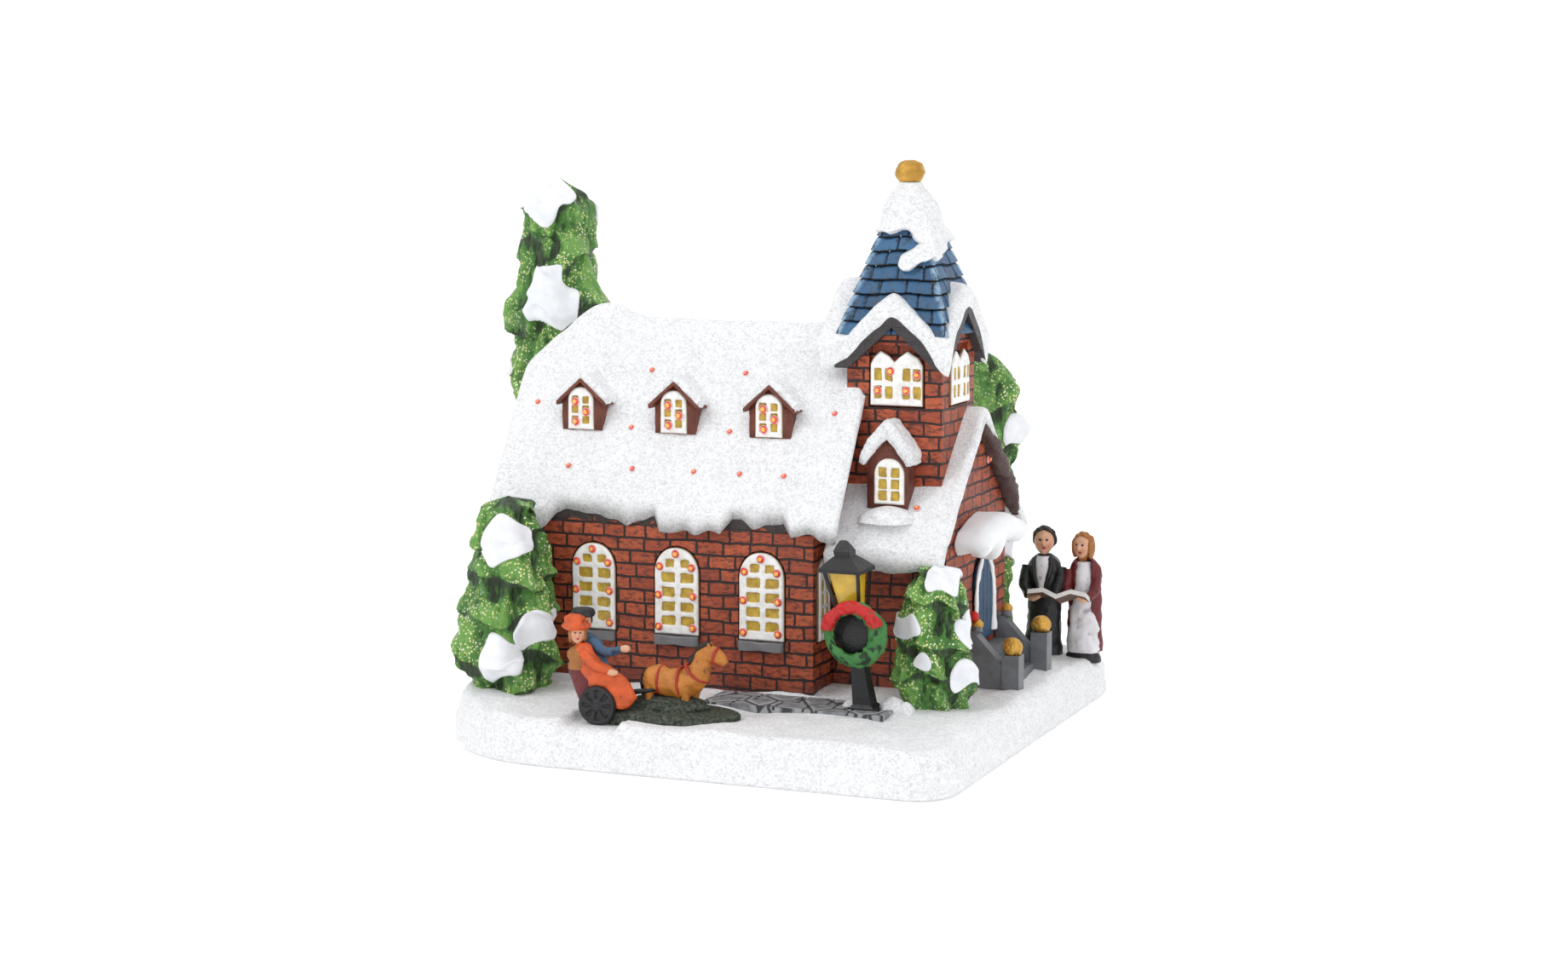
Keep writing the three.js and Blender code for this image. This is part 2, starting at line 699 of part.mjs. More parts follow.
function naveWalls() {
  const under = (y) => naveSurface(y) - naveRoofRise - seatGap;
  const profile = [
    [naveFront, seatHeight], [naveBack, seatHeight], [naveBack, under(naveBack)],
    [ridgeY, under(ridgeY)], [naveFront, under(naveFront)],
  ];
  let body = alongX(profile, naveLeft, naveRight);
  body = body.subtract(hipCut(hipRise + seatGap));
  body = body.subtract(naveBox(-wallThickness, 0, skyHeight));
  const seat = windowThickness - windowProud + seatGap;
  for (const x of windowXs) {
    const hole = arch(windowWidth + 2 * seatGap, windowHeight + 2 * seatGap, x, windowSill - seatGap);
    body = body.subtract(alongY(hole, naveFront - 1, naveFront + seat));
    const open = arch(windowWidth - 2 * windowLedge, windowHeight - 2 * windowLedge, x, windowSill + windowLedge);
    body = body.subtract(alongY(open, naveFront, naveFront + wallThickness + 1));
  }
  for (const x of backWindowXs) {
    const hole = arch(windowWidth + 2 * seatGap, windowHeight + 2 * seatGap, x, windowSill - seatGap);
    body = body.subtract(alongY(hole, naveBack - seat, naveBack + 1));
  }
  const side = arch(sideWindowWidth + 2 * seatGap, sideWindowHeight + 2 * seatGap, sideWindowY, windowSill - seatGap);
  body = body.subtract(alongX(side, naveRight - seat, naveRight + 1));
  return body.subtract(trunkPassage()).subtract(boresOf('roof'));
}

const backWindowXs = [-windowPitch, windowPitch].map((step) => windowCentreX + step / 1.4);
const sideWindowWidth = 7;
const sideWindowHeight = 19;
const sideWindowY = -16.2;

// Snow roof of the nave: a shell whose outer face ripples inwards from the true slope
function naveRoof(grow = 0) {
  const left = naveLeft - vergeLeft - grow;
  const right = naveRight + vergeRight + grow;
  const halfOut = (naveBack - naveFront) / 2 + eaveOverhang + grow;
  const stations = 11;
  const rings = [];
  for (let k = 0; k <= stations; k += 1) {
    const x = left + ((right - left) * k) / stations;
    const ring = [];
    const heap = ridgeHump * Math.exp(-(((x - ridgeHumpX) / 7) ** 2))
      + cornerDrift * Math.exp(-(((x - cornerDriftX) / 6.5) ** 2));
    for (const share of [-1, -0.72, -0.44, -0.16, 0, 0.16, 0.44, 0.72, 1]) {
      const y = ridgeY + share * halfOut;
      const ripple = grow > 0 ? 0 : 0.5 * Math.abs(Math.sin(x * 0.23 + share * 9));
      const crest = heap * Math.exp(-((share / 0.14) ** 2)) + (share === 0 ? 0.3 : 0);
      ring.push(axis(x, y, naveSurface(y) - ripple + crest + grow * 1.9));
    }
    const drip = grow > 0 ? 2.6 : 1.1 + 0.8 * Math.sin(x * 0.36) + 0.7 * Math.sin(x * 0.95);
    const wallY = [naveBack + seatGap, naveFront - seatGap];
    ring.push(axis(x, wallY[0] + eaveOverhang - 1, naveEave - drip));
    ring.push(axis(x, wallY[0], naveSurface(wallY[0]) - naveRoofRise - grow * 1.9));
    ring.push(axis(x, ridgeY, naveRidge - naveRoofRise - grow * 1.9));
    ring.push(axis(x, wallY[1], naveSurface(wallY[1]) - naveRoofRise - grow * 1.9));
    ring.push(axis(x, wallY[1] - eaveOverhang + 1, naveEave - drip));
    rings.push(ring);
  }
  let body = skin(rings, 'y', 'z').subtract(hipCut(-grow - 1));
  const under = (y) => naveSurface(y) - naveRoofRise;
  const [atticFront, atticBack] = [ridgeY - hipReach, ridgeY + hipReach];
  const attic = [[atticFront, under(atticFront)], [atticBack, under(atticBack)], [ridgeY, under(ridgeY)]];
  const hipSlab = alongX(attic, left, right).subtract(hipCut(-grow - 1)).intersect(hipCut(hipRise + grow));
  const hipEnd = hipSlab.intersect(box([left, naveFront, 70], [right, naveBack, skyHeight]));
  body = body.add(hipEnd);
  if (grow > 0) {
    return body;
  }
  for (const x of dormerXs) {
    body = body.subtract(box([x - 2.8, dormerFront + 0.5, naveEave], [x + 2.6, dormerFront + 7.6, skyHeight]));
  }
  return body.subtract(towerBox(seatGap, 0, skyHeight)).subtract(boresOf('roof'));
}

// Space that the nave roof takes, with its clearance
const roofRoom = naveRoof(seatGap);

// Windows

function paneRows(width, height, rows, archTop) {
  const holes = [];
  const border = width * borderShare;
  const paneWidth = (width - 2 * border - muntin) / 2;
  const paneHeight = 1.9;
  const pitch = (height - archTop - border - 2) / rows;
  for (const side of [-1, 1]) {
    const inner = (side * muntin) / 2;
    const outer = inner + side * paneWidth;
    for (let row = 0; row < rows; row += 1) {
      const low = 2.4 + row * pitch;
      holes.push([[inner, low], [outer, low], [outer, low + paneHeight], [inner, low + paneHeight]]);
    }
  }
  return holes;
}

function panel(shape, holes, thickness) {
  const deep = paneDepth;
  let body = alongY(shape, 0, thickness);
  for (const hole of holes) {
    body = body.subtract(alongY(hole, -1, deep));
  }
  return body;
}

function naveWindow(x, turned) {
  const shape = arch(windowWidth, windowHeight);
  const holes = paneRows(windowWidth, windowHeight, turned ? 3 : 4, windowWidth / 2);
  let body = panel(shape, holes, windowThickness);
  body = body.add(box([-windowWidth / 2 - 0.1, -0.9, -2.2], [windowWidth / 2 + 0.1, windowProud - seatGap, 0.3]));
  if (turned) {
    return body.rotate([0, 0, 180]).translate([x, naveBack + windowProud, windowSill]);
  }
  return body.translate([x, windowFace, windowSill]).subtract(boresOf('windows'));
}

function sideWindow() {
  const shape = arch(sideWindowWidth, sideWindowHeight);
  const holes = paneRows(sideWindowWidth, sideWindowHeight, 3, sideWindowWidth / 2);
  const body = panel(shape, holes, windowThickness);
  return body.rotate([0, 0, 90]).translate([naveRight + windowProud, sideWindowY, windowSill]);
}

// Twin window with two pointed heads
function twinWindow(width, height) {
  const half = width / 2;
  const shoulder = height * 0.72;
  const shape = [
    [-half, 0], [half, 0], [half, shoulder], [half * 0.5, height], [0, shoulder + 0.6],
    [-half * 0.5, height], [-half, shoulder],
  ];
  const holes = [];
  const paneWidth = (half - 3 * 0.9) / 2;
  for (const side of [-1, 1]) {
    for (const light of [0, 1]) {
      const inner = side * (0.7 + light * (paneWidth + 0.9));
      const outer = inner + side * paneWidth;
      for (const low of [1.8, 5.6]) {
        holes.push([[inner, low], [outer, low], [outer, low + 2.6], [inner, low + 2.6]]);
      }
    }
  }
  return panel(shape, holes, windowThickness);
}

function twinSeat() {
  const half = twinWidth / 2 + seatGap;
  return [[-half, twinSill - seatGap], [half, twinSill - seatGap], [half, twinSill + twinHeight + 0.6],
    [-half, twinSill + twinHeight + 0.6]];
}

// Dormer: gabled box with a snow cap and a small arched window in relief
function dormerShape(width, foot, height, front, back) {
  const half = width / 2;
  const apex = height + half * 0.8;
  const face = [[-half, foot], [half, foot], [half, foot + height], [0, foot + apex], [-half, foot + height]];
  const capEdge = half + capOverhang;
  const capFoot = foot + height - capOverhang * 0.8;
  const cap = [
    [-capEdge, capFoot + capDepth], [0, foot + apex + capDepth], [capEdge, capFoot + capDepth],
    [capEdge, capFoot - 0.5], [0, foot + apex - 0.5], [-capEdge, capFoot - 0.5],
  ];
  let body = alongY(face, front, back);
  body = body.add(alongY(cap, front - 1.1, back));
  const glass = arch(width * 0.58, height - 0.8, 0, foot + 0.8);
  return body.add(alongY(glass, front - 0.5, front + 1));
}

function roofFilled(grow) {
  const points = [
    [ridgeY - 40, naveSurface(ridgeY - 40) + grow], [ridgeY + 40, naveSurface(ridgeY + 40) + grow],
    [ridgeY, naveRidge + grow],
  ];
  return alongX(points, naveLeft - 20, naveRight + 20);
}

function dormer(x) {
  const body = dormerShape(dormerWidth, dormerFoot, dormerHeight, dormerFront, ridgeY);
  return body.translate([x, 0, 0]).subtract(roofFilled(0.1)).subtract(roofRoom).subtract(boresOf('dormers'));
}

// Tower, its cross-gabled snow and the spire

// Cross-gabled block over the tower: front and back gables lower than the side ones
function crossGable(rise, out, from) {
  const half = towerHalf + out;
  const profile = (centre, apex) => {
    const foot = apex - gableSlope * half;
    return [[centre - half, from], [centre + half, from], [centre + half, foot], [centre, apex], [centre - half, foot]];
  };
  const side = alongX(profile(towerY, sideGable + rise), towerX - half, towerX + half);
  const front = alongY(profile(towerX, frontGable + rise), towerY - half, towerY + half);
  return side.add(front);
}

function towerWalls() {
  const lowest = frontGable - gableSlope * towerHalf;
  let body = crossGable(-seatGap, 0, seatHeight);
  const boards = crossGable(-seatGap, bargeReach, 70).subtract(crossGable(-seatGap - bargeDepth, bargeReach + 1, 60));
  body = body.add(boards.subtract(roofRoom));
  body = body.subtract(towerBox(-towerWall, 0, lowest - 1));
  const seat = windowThickness - windowProud + seatGap;
  const front = twinSeat().map(([u, v]) => [u + twinFrontX, v]);
  const east = twinSeat().map(([u, v]) => [u + towerY, v]);
  body = body.subtract(alongY(front, towerY - towerHalf - 1, towerY - towerHalf + seat));
  body = body.subtract(alongX(east, towerX + towerHalf - seat, towerX + towerHalf + 1));
  const vent = box([towerX - 4, towerY + towerHalf - towerWall - 1, 17], [towerX + 4, towerY + towerHalf + 1, 44]);
  const light = [towerX - 5, towerY - towerHalf - 1, twinSill + 0.8];
  body = body.subtract(box(light, [twinFrontX + 5.7, towerY - towerHalf + towerWall + 1, lowest - 1.2]));
  return body.subtract(trunkPassage()).subtract(vent).subtract(boresOf('porch'));
}

function towerSnow() {
  const outer = crossGable(gableSnow, gableOverhang, 60);
  const inner = crossGable(0, gableOverhang + 1, 50);
  return outer.subtract(inner).subtract(roofRoom);
}

function pyramid(grow, from, to) {
  const half = (z) => Math.max(spireHalf - spireTaper * (z - spireFoot) + grow, 0.4);
  const reach = Math.SQRT2;
  return column([from, to].map((z) => [z, half(z) * reach, half(z) * reach, towerX, towerY]), 4, Math.PI / 4);
}

function spire() {
  const roofs = crossGable(gableSnow + seatGap, gableOverhang + 2, 60);
  return pyramid(0, spireFoot - 2, spireTop - 1.8).subtract(roofs);
}

function spireSnow() {
  const shell = pyramid(spireSnowThickness, spireFoot, spireTop).subtract(pyramid(seatGap, spireFoot - 1, spireTop - 1.5));
  const cap = box([0, -40, spireSnowFrom], [80, 40, skyHeight]);
  const hook = new THREE.Shape();
  hook.moveTo(towerX - 1, spireSnowFrom + 2);
  hook.quadraticCurveTo(towerX + 4, spireSnowFrom - 4, towerX - 1.5, spireSnowFrom - 5.4);
  hook.quadraticCurveTo(towerX - 3.6, spireSnowFrom - 9.6, towerX + 0.6, spireSnowFrom - 9.2);
  hook.quadraticCurveTo(towerX + 7, spireSnowFrom - 6.4, towerX + 7.5, spireSnowFrom - 4);
  hook.lineTo(towerX + 9, spireSnowFrom + 2);
  const tongue = alongY(hook, towerY - 20, towerY);
  const roofs = crossGable(gableSnow + seatGap, gableOverhang + 2, 60);
  return shell.intersect(cap.add(tongue)).subtract(roofs);
}

function finial() {
  const lump = new THREE.IcosahedronGeometry(finialRadius, 1);
  const foot = spireTop;
  const body = solid(lump.scale(1, 1, 0.85).translate(towerX - 0.6, towerY, foot + finialRadius * 0.62));
  return body.subtract(box([0, -40, 0], [80, 40, foot]));
}

// Porch: walls round the tower foot, snow roof, small front dormer, door, canopy and steps

const porchRise = porchSnow / Math.cos(porchLean);

function porchWalls() {
  const under = (y) => porchSurface(y) - porchRise - seatGap;
  const profile = [
    [porchFront, seatHeight], [porchBack, seatHeight], [porchBack, under(porchBack)],
    [porchRidgeY, under(porchRidgeY)], [porchFront, under(porchFront)],
  ];
  let body = alongX(profile, naveRight + seatGap, porchRight);
  body = body.subtract(towerBox(seatGap + 0.1, 0, skyHeight));
  const hollowLow = [0, towerY + towerHalf, 0];
  body = body.subtract(box(hollowLow, [porchRight - wallThickness, porchBack - wallThickness, skyHeight]));
  const frame = arch(doorWidth + 2 * seatGap, doorHeight + seatGap, doorCentreY, doorSill - seatGap);
  body = body.subtract(alongX(frame, porchRight - 1.1, porchRight + 1));
  body = body.subtract(roofRoom).subtract(trunkPassage());
  return body.subtract(boresOf('porch'));
}

function porchRoof() {
  const half = (porchBack - porchFront) / 2 + porchOverhang;
  const left = naveRight + 1.5;
  const right = porchRight + porchVerge;
  const stations = 6;
  const rings = [];
  for (let k = 0; k <= stations; k += 1) {
    const x = left + ((right - left) * k) / stations;
    const ring = [];
    for (const s of [-1, -0.66, -0.33, 0, 0.33, 0.66, 1]) {
      const y = porchRidgeY + s * half;
      const ripple = 0.45 * Math.abs(Math.sin(x * 0.31 + s * 7));
      ring.push(axis(x, y, porchSurface(y) - ripple));
    }
    const drip = 0.9 * Math.abs(Math.sin(x * 0.4));
    for (const s of [0.98, 0.72, 0, -0.72, -0.98]) {
      const y = porchRidgeY + s * half;
      const thickness = Math.abs(s) > 0.9 ? 1.7 + drip : porchRise;
      ring.push(axis(x, y, porchSurface(y) - thickness));
    }
    rings.push(ring);
  }
  let body = skin(rings, 'y', 'z').subtract(towerBox(seatGap, 0, skyHeight));
  body = body.subtract(roofRoom).subtract(naveBox(seatGap, 0, naveEave + 8));
  return largest(body.subtract(boresOf('porch')));
}

// Room kept free of trees round the nave and round the porch
function naveBlock() {
  const roof = roofRoom.add(naveBox(seatGap, 0, naveEave + 6));
  return roof.add(box([naveLeft - seatGap, naveFront, naveEave], [naveRight, naveBack, naveRidge - 20]));
}

function porchBlock() {
  const half = (porchBack - porchFront) / 2 + porchOverhang + seatGap;
  const top = porchSurface(porchRidgeY + half) + 2 * seatGap;
  const profile = [
    [porchRidgeY - half, top - porchRise - 3], [porchRidgeY + half, top - porchRise - 3], [porchRidgeY + half, top],
    [porchRidgeY, porchRidge + 2 * seatGap], [porchRidgeY - half, top],
  ];
  const roof = alongX(profile, naveRight, porchRight + porchVerge + seatGap);
  const low = [naveRight, porchFront - seatGap, 0];
  return roof.add(box(low, [porchRight + seatGap, porchBack + seatGap, top]));
}

// Keeps the biggest body when a cut leaves crumbs
function largest(body) {
  const pieces = body.decompose();
  return pieces.reduce((best, piece) => (piece.volume() > best.volume() ? piece : best));
}

function porchDormer() {
  const front = -12.2;
  let body = dormerShape(9.4, 53, 14.6, front, towerY - towerHalf - seatGap).translate([38.9, 0, 0]);
  const roofs = [
    [porchRidgeY - 60, porchSurface(porchRidgeY - 60) + 0.1], [porchRidgeY + 60, porchSurface(porchRidgeY + 60) + 0.1],
    [porchRidgeY, porchRidge + 0.1],
  ];
  body = body.subtract(alongX(roofs, 0, 80));
  return body.subtract(boresOf('porch'));
}

function frontDoor() {
  const shape = arch(doorWidth, doorHeight);
  const leaf = arch(doorWidth - 3.4, doorHeight - 2, 0, 0.6);
  let body = alongY(shape, 0, 1.6).subtract(alongY(leaf, -1, 0.6));
  for (const x of [-2.6, 0, 2.6]) {
    body = body.subtract(box([x - 0.2, 0, 1.2], [x + 0.2, 0.9, doorHeight - 4.5]));
  }
  return body.rotate([0, 0, 90]).translate([porchRight + 0.8, doorCentreY, doorSill]);
}

function doorCanopy() {
  const surface = (across, share) => canopyRidge - canopyCurve * across ** 4 - canopyFall * share ** 1.6;
  const drip = (across) => 0.7 * Math.cos(7 * across) * (1 - across ** 2);
  const rings = [0, 0.4, 0.8, 1].map((share) => {
    const size = 1 - 0.12 * share ** 2;
    const thickness = canopyThickness * (1 - 0.3 * share ** 2);
    const x = porchRight + seatGap + share * canopyReach;
    const spot = (across) => doorCentreY + canopyShift + across * canopyHalf * size;
    const at = (across, drop) => axis(x, spot(across), surface(across, share) - drop);
    const top = [-1, -0.8, -0.45, 0, 0.45, 0.8, 1].map((across) => at(across, Math.abs(across) === 1 ? 0.8 : 0));
    const low = [0.9, 0.5, 0, -0.5, -0.9].map((across) => at(across, thickness + drip(across)));
    return [...top, ...low];
  });
  return skin(rings, 'y', 'z');
}

function steps() {
  const rise = (doorSill - seatHeight - 1) / stepCount;
  const run = stepReach / (stepCount + 0.4);
  const stair = [[porchRight + seatGap, seatHeight], [porchRight + stepReach, seatHeight]];
  for (let k = 0; k < stepCount; k += 1) {
    const x = porchRight + stepReach - k * run;
    stair.push([x, seatHeight + (k + 1) * rise], [x - run, seatHeight + (k + 1) * rise]);
  }
  stair.push([porchRight + seatGap, seatHeight + stepCount * rise]);
  const low = doorCentreY - stairWidth / 2;
  const high = doorCentreY + stairWidth / 2;
  let body = alongY(stair, low - 0.5, high + 0.5);
  const pillarBase = seatHeight + 1 + pillarHeight;
  const cheek = [
    [porchRight + seatGap, seatHeight], [porchRight + stepReach, seatHeight],
    [porchRight + stepReach, pillarBase - 3], [porchRight + stepReach - 4, pillarBase - 2.5],
    [porchRight + 2, doorSill + 4], [porchRight + seatGap, doorSill + 4.5],
  ];
  for (const [from, to, extra] of [[low - cheekWidth, low, 0], [high, high + cheekWidth, farPillarRise]]) {
    const middle = (from + to) / 2;
    const pillarTop = pillarBase + extra;
    const pillarX = porchRight + stepReach - 2;
    body = body.add(alongY(cheek, from + 0.4, to - 0.4));
    body = body.add(box([pillarX - 2, from, seatHeight], [pillarX + 2, to, pillarTop]));
    body = body.add(ball(ballRadius, pillarX, middle, pillarTop + ballRadius * 0.75, [1, 1, 1], 6));
    body = body.add(ball(ballRadius * 0.8, porchRight + 2.6, middle, doorSill + 4.6, [1, 1, 1], 5));
  }
  return body;
}

// Scenery

// Radius at a height, from a list of [height, radius] in rising order
function radiusAt(profile, z) {
  const last = profile.length - 1;
  const upper = Math.max(1, profile.findIndex(([height], k) => height >= z || k === last));
  const [low, lowRadius] = profile[upper - 1];
  const [high, highRadius] = profile[upper];
  return lowRadius + ((highRadius - lowRadius) * (z - low)) / (high - low);
}

// Tree: tiers of drooping boughs, lobed round the trunk and turned from tier to tier
function tree([x, y, foot, , seat], tiers, profile) {
  const rounds = 2 * tiers + 1;
  const sides = 10;
  const top = profile[profile.length - 1][0];
  const rings = [];
  for (let k = 0; k <= rounds; k += 1) {
    const t = k / rounds;
    const z = seat + (top - seat) * t;
    const tier = Math.floor(t * tiers);
    const bough = k === 0 || k === rounds ? 1 : 1.1 - 0.32 * (t * tiers - tier);
    const lift = k === 0 || k === rounds ? 0 : 0.9;
    const ring = [];
    for (let side = 0; side < sides; side += 1) {
      const angle = (2 * Math.PI * side) / sides;
      const lobe = 1 + 0.12 * lift * Math.sin(5 * angle + 1.7 * tier);
      const wide = radiusAt(profile, z) * bough * lobe;
      const reach = z < seat + 6.2 ? Math.min(wide, foot) : wide;
      const height = z + lift * Math.cos(5 * angle + 1.7 * tier);
      ring.push(axis(x + reach * Math.cos(angle), y + reach * Math.sin(angle), height));
    }
    rings.push(ring);
  }
  return skin(rings);
}

function grassMound() {
  const { x, y, halfX, halfY, seat, rise } = moundPlace;
  const sections = [
    [seat, halfX, halfY, x, y], [seat + rise * 0.5, halfX * 0.97, halfY * 0.96, x, y],
    [seat + rise * 0.85, halfX * 0.84, halfY * 0.8, x, y], [seat + rise, halfX * 0.62, halfY * 0.55, x, y],
  ];
  return column(sections, 14).subtract(wheelWell(0));
}

function wheelWell(floor) {
  const { x, y, radius, track } = wheelPlace;
  return box([x - radius - 1, y - 1.4, floor], [x + radius + 1, y + track + 1.4, skyHeight]);
}

function flagstones() {
  const { left, right, front, back, seat, top } = pathPlace;
  let body = box([left, front, seat], [right - seatGap, back - seatGap, top]);
  const grooveDepth = top - 0.7;
  for (let k = 1; k < 5; k += 1) {
    const x = left + ((right - left) * (k - 0.2 * (k % 2))) / 5;
    body = body.subtract(box([x - 0.3, front - 1, grooveDepth], [x + 0.3, (front + back) / 2, skyHeight]));
    body = body.subtract(box([x + 2.7, (front + back) / 2, grooveDepth], [x + 3.3, back, skyHeight]));
  }
  body = body.subtract(box([left - 1, (front + back) / 2 - 0.3, grooveDepth], [right, (front + back) / 2 + 0.3, skyHeight]));
  const { x, y, halfX, halfY } = moundPlace;
  body = body.subtract(pocket([x, y, halfX, halfY, 0])).subtract(lampPocket(0));
  return largest(body.subtract(pocket([...stands.doorTree.slice(0, 4), 0])));
}

function wheel(x, y, z, radius) {
  const rim = new THREE.LatheGeometry([
    new THREE.Vector2(radius - 0.9, -0.6), new THREE.Vector2(radius, -0.6), new THREE.Vector2(radius, 0.6),
    new THREE.Vector2(radius - 0.9, 0.6), new THREE.Vector2(radius - 0.9, -0.6),
  ], 10);
  let body = solid(rim);
  const hubDisc = solid(new THREE.CylinderGeometry(1.1, 1.1, 1.8, 5));
  body = body.add(hubDisc);
  for (let k = 0; k < 6; k += 1) {
    const angle = (Math.PI * k) / 3;
    const end = radius - 0.6;
    body = body.add(limb([[0, 0, 0], [end * Math.cos(angle), 0, end * Math.sin(angle)]], 0.45, 3));
  }
  return body.translate([x, y, z]);
}

const axleHeight = moundPlace.seat + wheelPlace.radius - 0.15;
const benchHeight = axleHeight + 1.2;

function carriageTub(low, high) {
  const { x } = wheelPlace;
  const z = axleHeight;
  const profile = [
    [x - 8.6, z + 5], [x - 6.6, z - 0.6], [x - 3, z - 1.8], [x + 3, z - 1.8], [x + 5.4, z - 0.2],
    [x + 6.4, z + 2.6], [x + 5.2, z + 2.6], [x + 4.2, benchHeight], [x - 4.2, benchHeight],
    [x - 5.6, z + 3.6], [x - 7.4, z + 8.6], [x - 8.8, z + 8.6],
  ];
  return alongY(profile, low, high);
}

function carriage() {
  const { x, y, track, radius } = wheelPlace;
  const near = wheel(x, y, axleHeight, radius);
  const far = wheel(x, y + track, axleHeight, radius);
  const shaft = limb([[x, y, axleHeight], [x, y + track, axleHeight]], 0.7, 6);
  const whole = join([near, far, shaft, carriageTub(y + 1.6, y + track - 1.6)]);
  return whole.subtract(box([x - 9, y - 4, 0], [x + 9, y + track + 4, moundPlace.seat]));
}

function rider(x, y, taller, turn) {
  const z = benchHeight;
  const top = z + taller;
  const figure = column([
    [z - 0.5, 3, 1.9, x, y], [z + 3, 2.7, 1.9, x - 0.8, y], [top + 6, 2.1, 2, x - 2, y],
    [top + 9.6, 2.2, 2, x - 2.8, y], [top + 11.2, 0.9, 0.9, x - 2.7, y], [top + 12.4, 1.5, 1.5, x - 2.5, y],
    [top + 14, 1.9, 1.8, x - 2.5, y], [top + 14.3, 2.4, 2.2, x - 2.8, y], [top + 15.4, 2.2, 2.1, x - 3, y],
    [top + 16.4, 1.2, 1.1, x - 3.1, y],
  ], 6);
  const lap = limb([[x, y, z + 1.6], [x + 4.4, y, z + 2], [x + 6.6, y, z - 0.4]], [1.9, 1.8, 1.1], 4);
  const arm = limb([
    [x - 2.2, y + turn * 1.6, z + 9.4 + taller], [x + 0.6, y + turn * 1.9, z + 6],
    [x + 3.8, y + turn * 1.1, z + 5.2],
  ], [1.1, 0.95, 0.7], 4);
  return join([figure, lap, arm]);
}

function riders() {
  const { x, y, track } = wheelPlace;
  const pair = rider(x - 3.4, y + 2.9, 0, -1).add(rider(x - 3.2, y + 5.6, 2.8, 1));
  const tub = carriageTub(y - 3, y + track + 3);
  const room = join([tub, tub.translate([seatGap + 0.05, 0, 0]), tub.translate([-seatGap - 0.05, 0, 0])]);
  const under = box([x - 4.2, y - 3, 0], [x + 12, y + track + 3, benchHeight]);
  return largest(pair.subtract(room).subtract(under));
}

function horse() {
  const { seat, rise } = moundPlace;
  const foot = seat + rise;
  const [x, y] = [3.4, -47];
  const trunk = limb(
    [[x - 7, y, foot + 6.6], [x - 5.8, y, foot + 6.8], [x - 2, y, foot + 6.3], [x + 2, y, foot + 6.4],
      [x + 4.6, y, foot + 7], [x + 5.6, y, foot + 7.2]],
    [1.5, 2.8, 2.8, 2.8, 2.9, 1.6], 6,
  );
  const neck = limb([[x + 3.8, y, foot + 7.4], [x + 5.4, y, foot + 10.2], [x + 6, y, foot + 12.4]], [2.5, 1.9, 1.5], 5);
  const head = limb([[x + 5, y, foot + 12.8], [x + 7.6, y, foot + 12.4], [x + 9.6, y, foot + 11.4]], [1.4, 1.6, 1.1], 5);
  const parts = [trunk, neck, head];
  for (const [dx, dy] of [[-5.4, -1.2], [-5.2, 1.2], [3.8, -1.2], [4.2, 1.2]]) {
    const [top, knee, hoof] = [6, 2.6, -0.4].map((up, k) => [x + dx + 0.3 * (k % 2), y + dy, foot + up]);
    parts.push(limb([top, knee, hoof], [1.6, 1, 0.9], 4));
  }
  for (const side of [-1, 1]) {
    parts.push(limb([[x + 5.2, y + side * 0.6, foot + 13.2], [x + 4.9, y + side * 0.9, foot + 14.8]], [0.5, 0.15], 4));
  }
  parts.push(limb([[x - 6.8, y, foot + 7.4], [x - 8.4, y, foot + 5.4], [x - 8.6, y, foot + 2.6]], [0.6, 0.9, 0.4], 4));
  return join(parts).subtract(box([x - 12, y - 5, 0], [x + 12, y + 5, foot]));
}

// Street lamp: leaning post with a caged lantern and a wreath

const lampLean = -0.145;

function lampAt(z) {
  return lampStand[0] + lampLean * (z - lampStand[4]);
}

function lampPost() {
  const [, y, , , seat] = lampStand;
  const square = (sections) => column(sections.map(([z, half, depth = half]) => {
    const reach = Math.SQRT2;
    return [z, half * reach, depth * reach, lampAt(z), y];
  }), 4, Math.PI / 4);
  let body = square([
    [seat, 3, 2.7], [seat + 3.2, 2.9, 2.6], [seat + 4, 2.1], [seat + 10, 1.7], [seat + 22, 1.1],
    [seat + 22.6, 2.2], [seat + 23.6, 2.6],
  ]);
  const glassLow = seat + 23.6;
  const glassHigh = seat + 33;
  for (const [sx, sy] of [[-1, -1], [1, -1], [1, 1], [-1, 1]]) {
    const bar = limb([
      [lampAt(glassLow) + sx * 2.4, y + sy * 2.4, glassLow - 0.4],
      [lampAt(glassHigh) + sx * 3.9, y + sy * 3.9, glassHigh + 0.4],
    ], 0.45, 4);
    body = body.add(bar);
  }
  const cap = square([
    [glassHigh, 4.8], [glassHigh + 0.8, 4.8], [glassHigh + 2.8, 2.6], [glassHigh + 3.4, 1.8],
    [glassHigh + 4.4, 1.9], [glassHigh + 5.6, 1.3], [glassHigh + 6.6, 0.6],
  ]);
  return body.add(cap);
}

function lampGlass() {
  const [, y, , , seat] = lampStand;
  const low = seat + 23.6;
  const high = seat + 33 - seatGap;
  return column([[low, 1.9 * Math.SQRT2, 1.9 * Math.SQRT2, lampAt(low), y],
    [high, 3.1 * Math.SQRT2, 3.1 * Math.SQRT2, lampAt(high), y]], 4, Math.PI / 4);
}

const wreathPlace = { z: 28.6, radius: 5.8, tube: 1.8 };

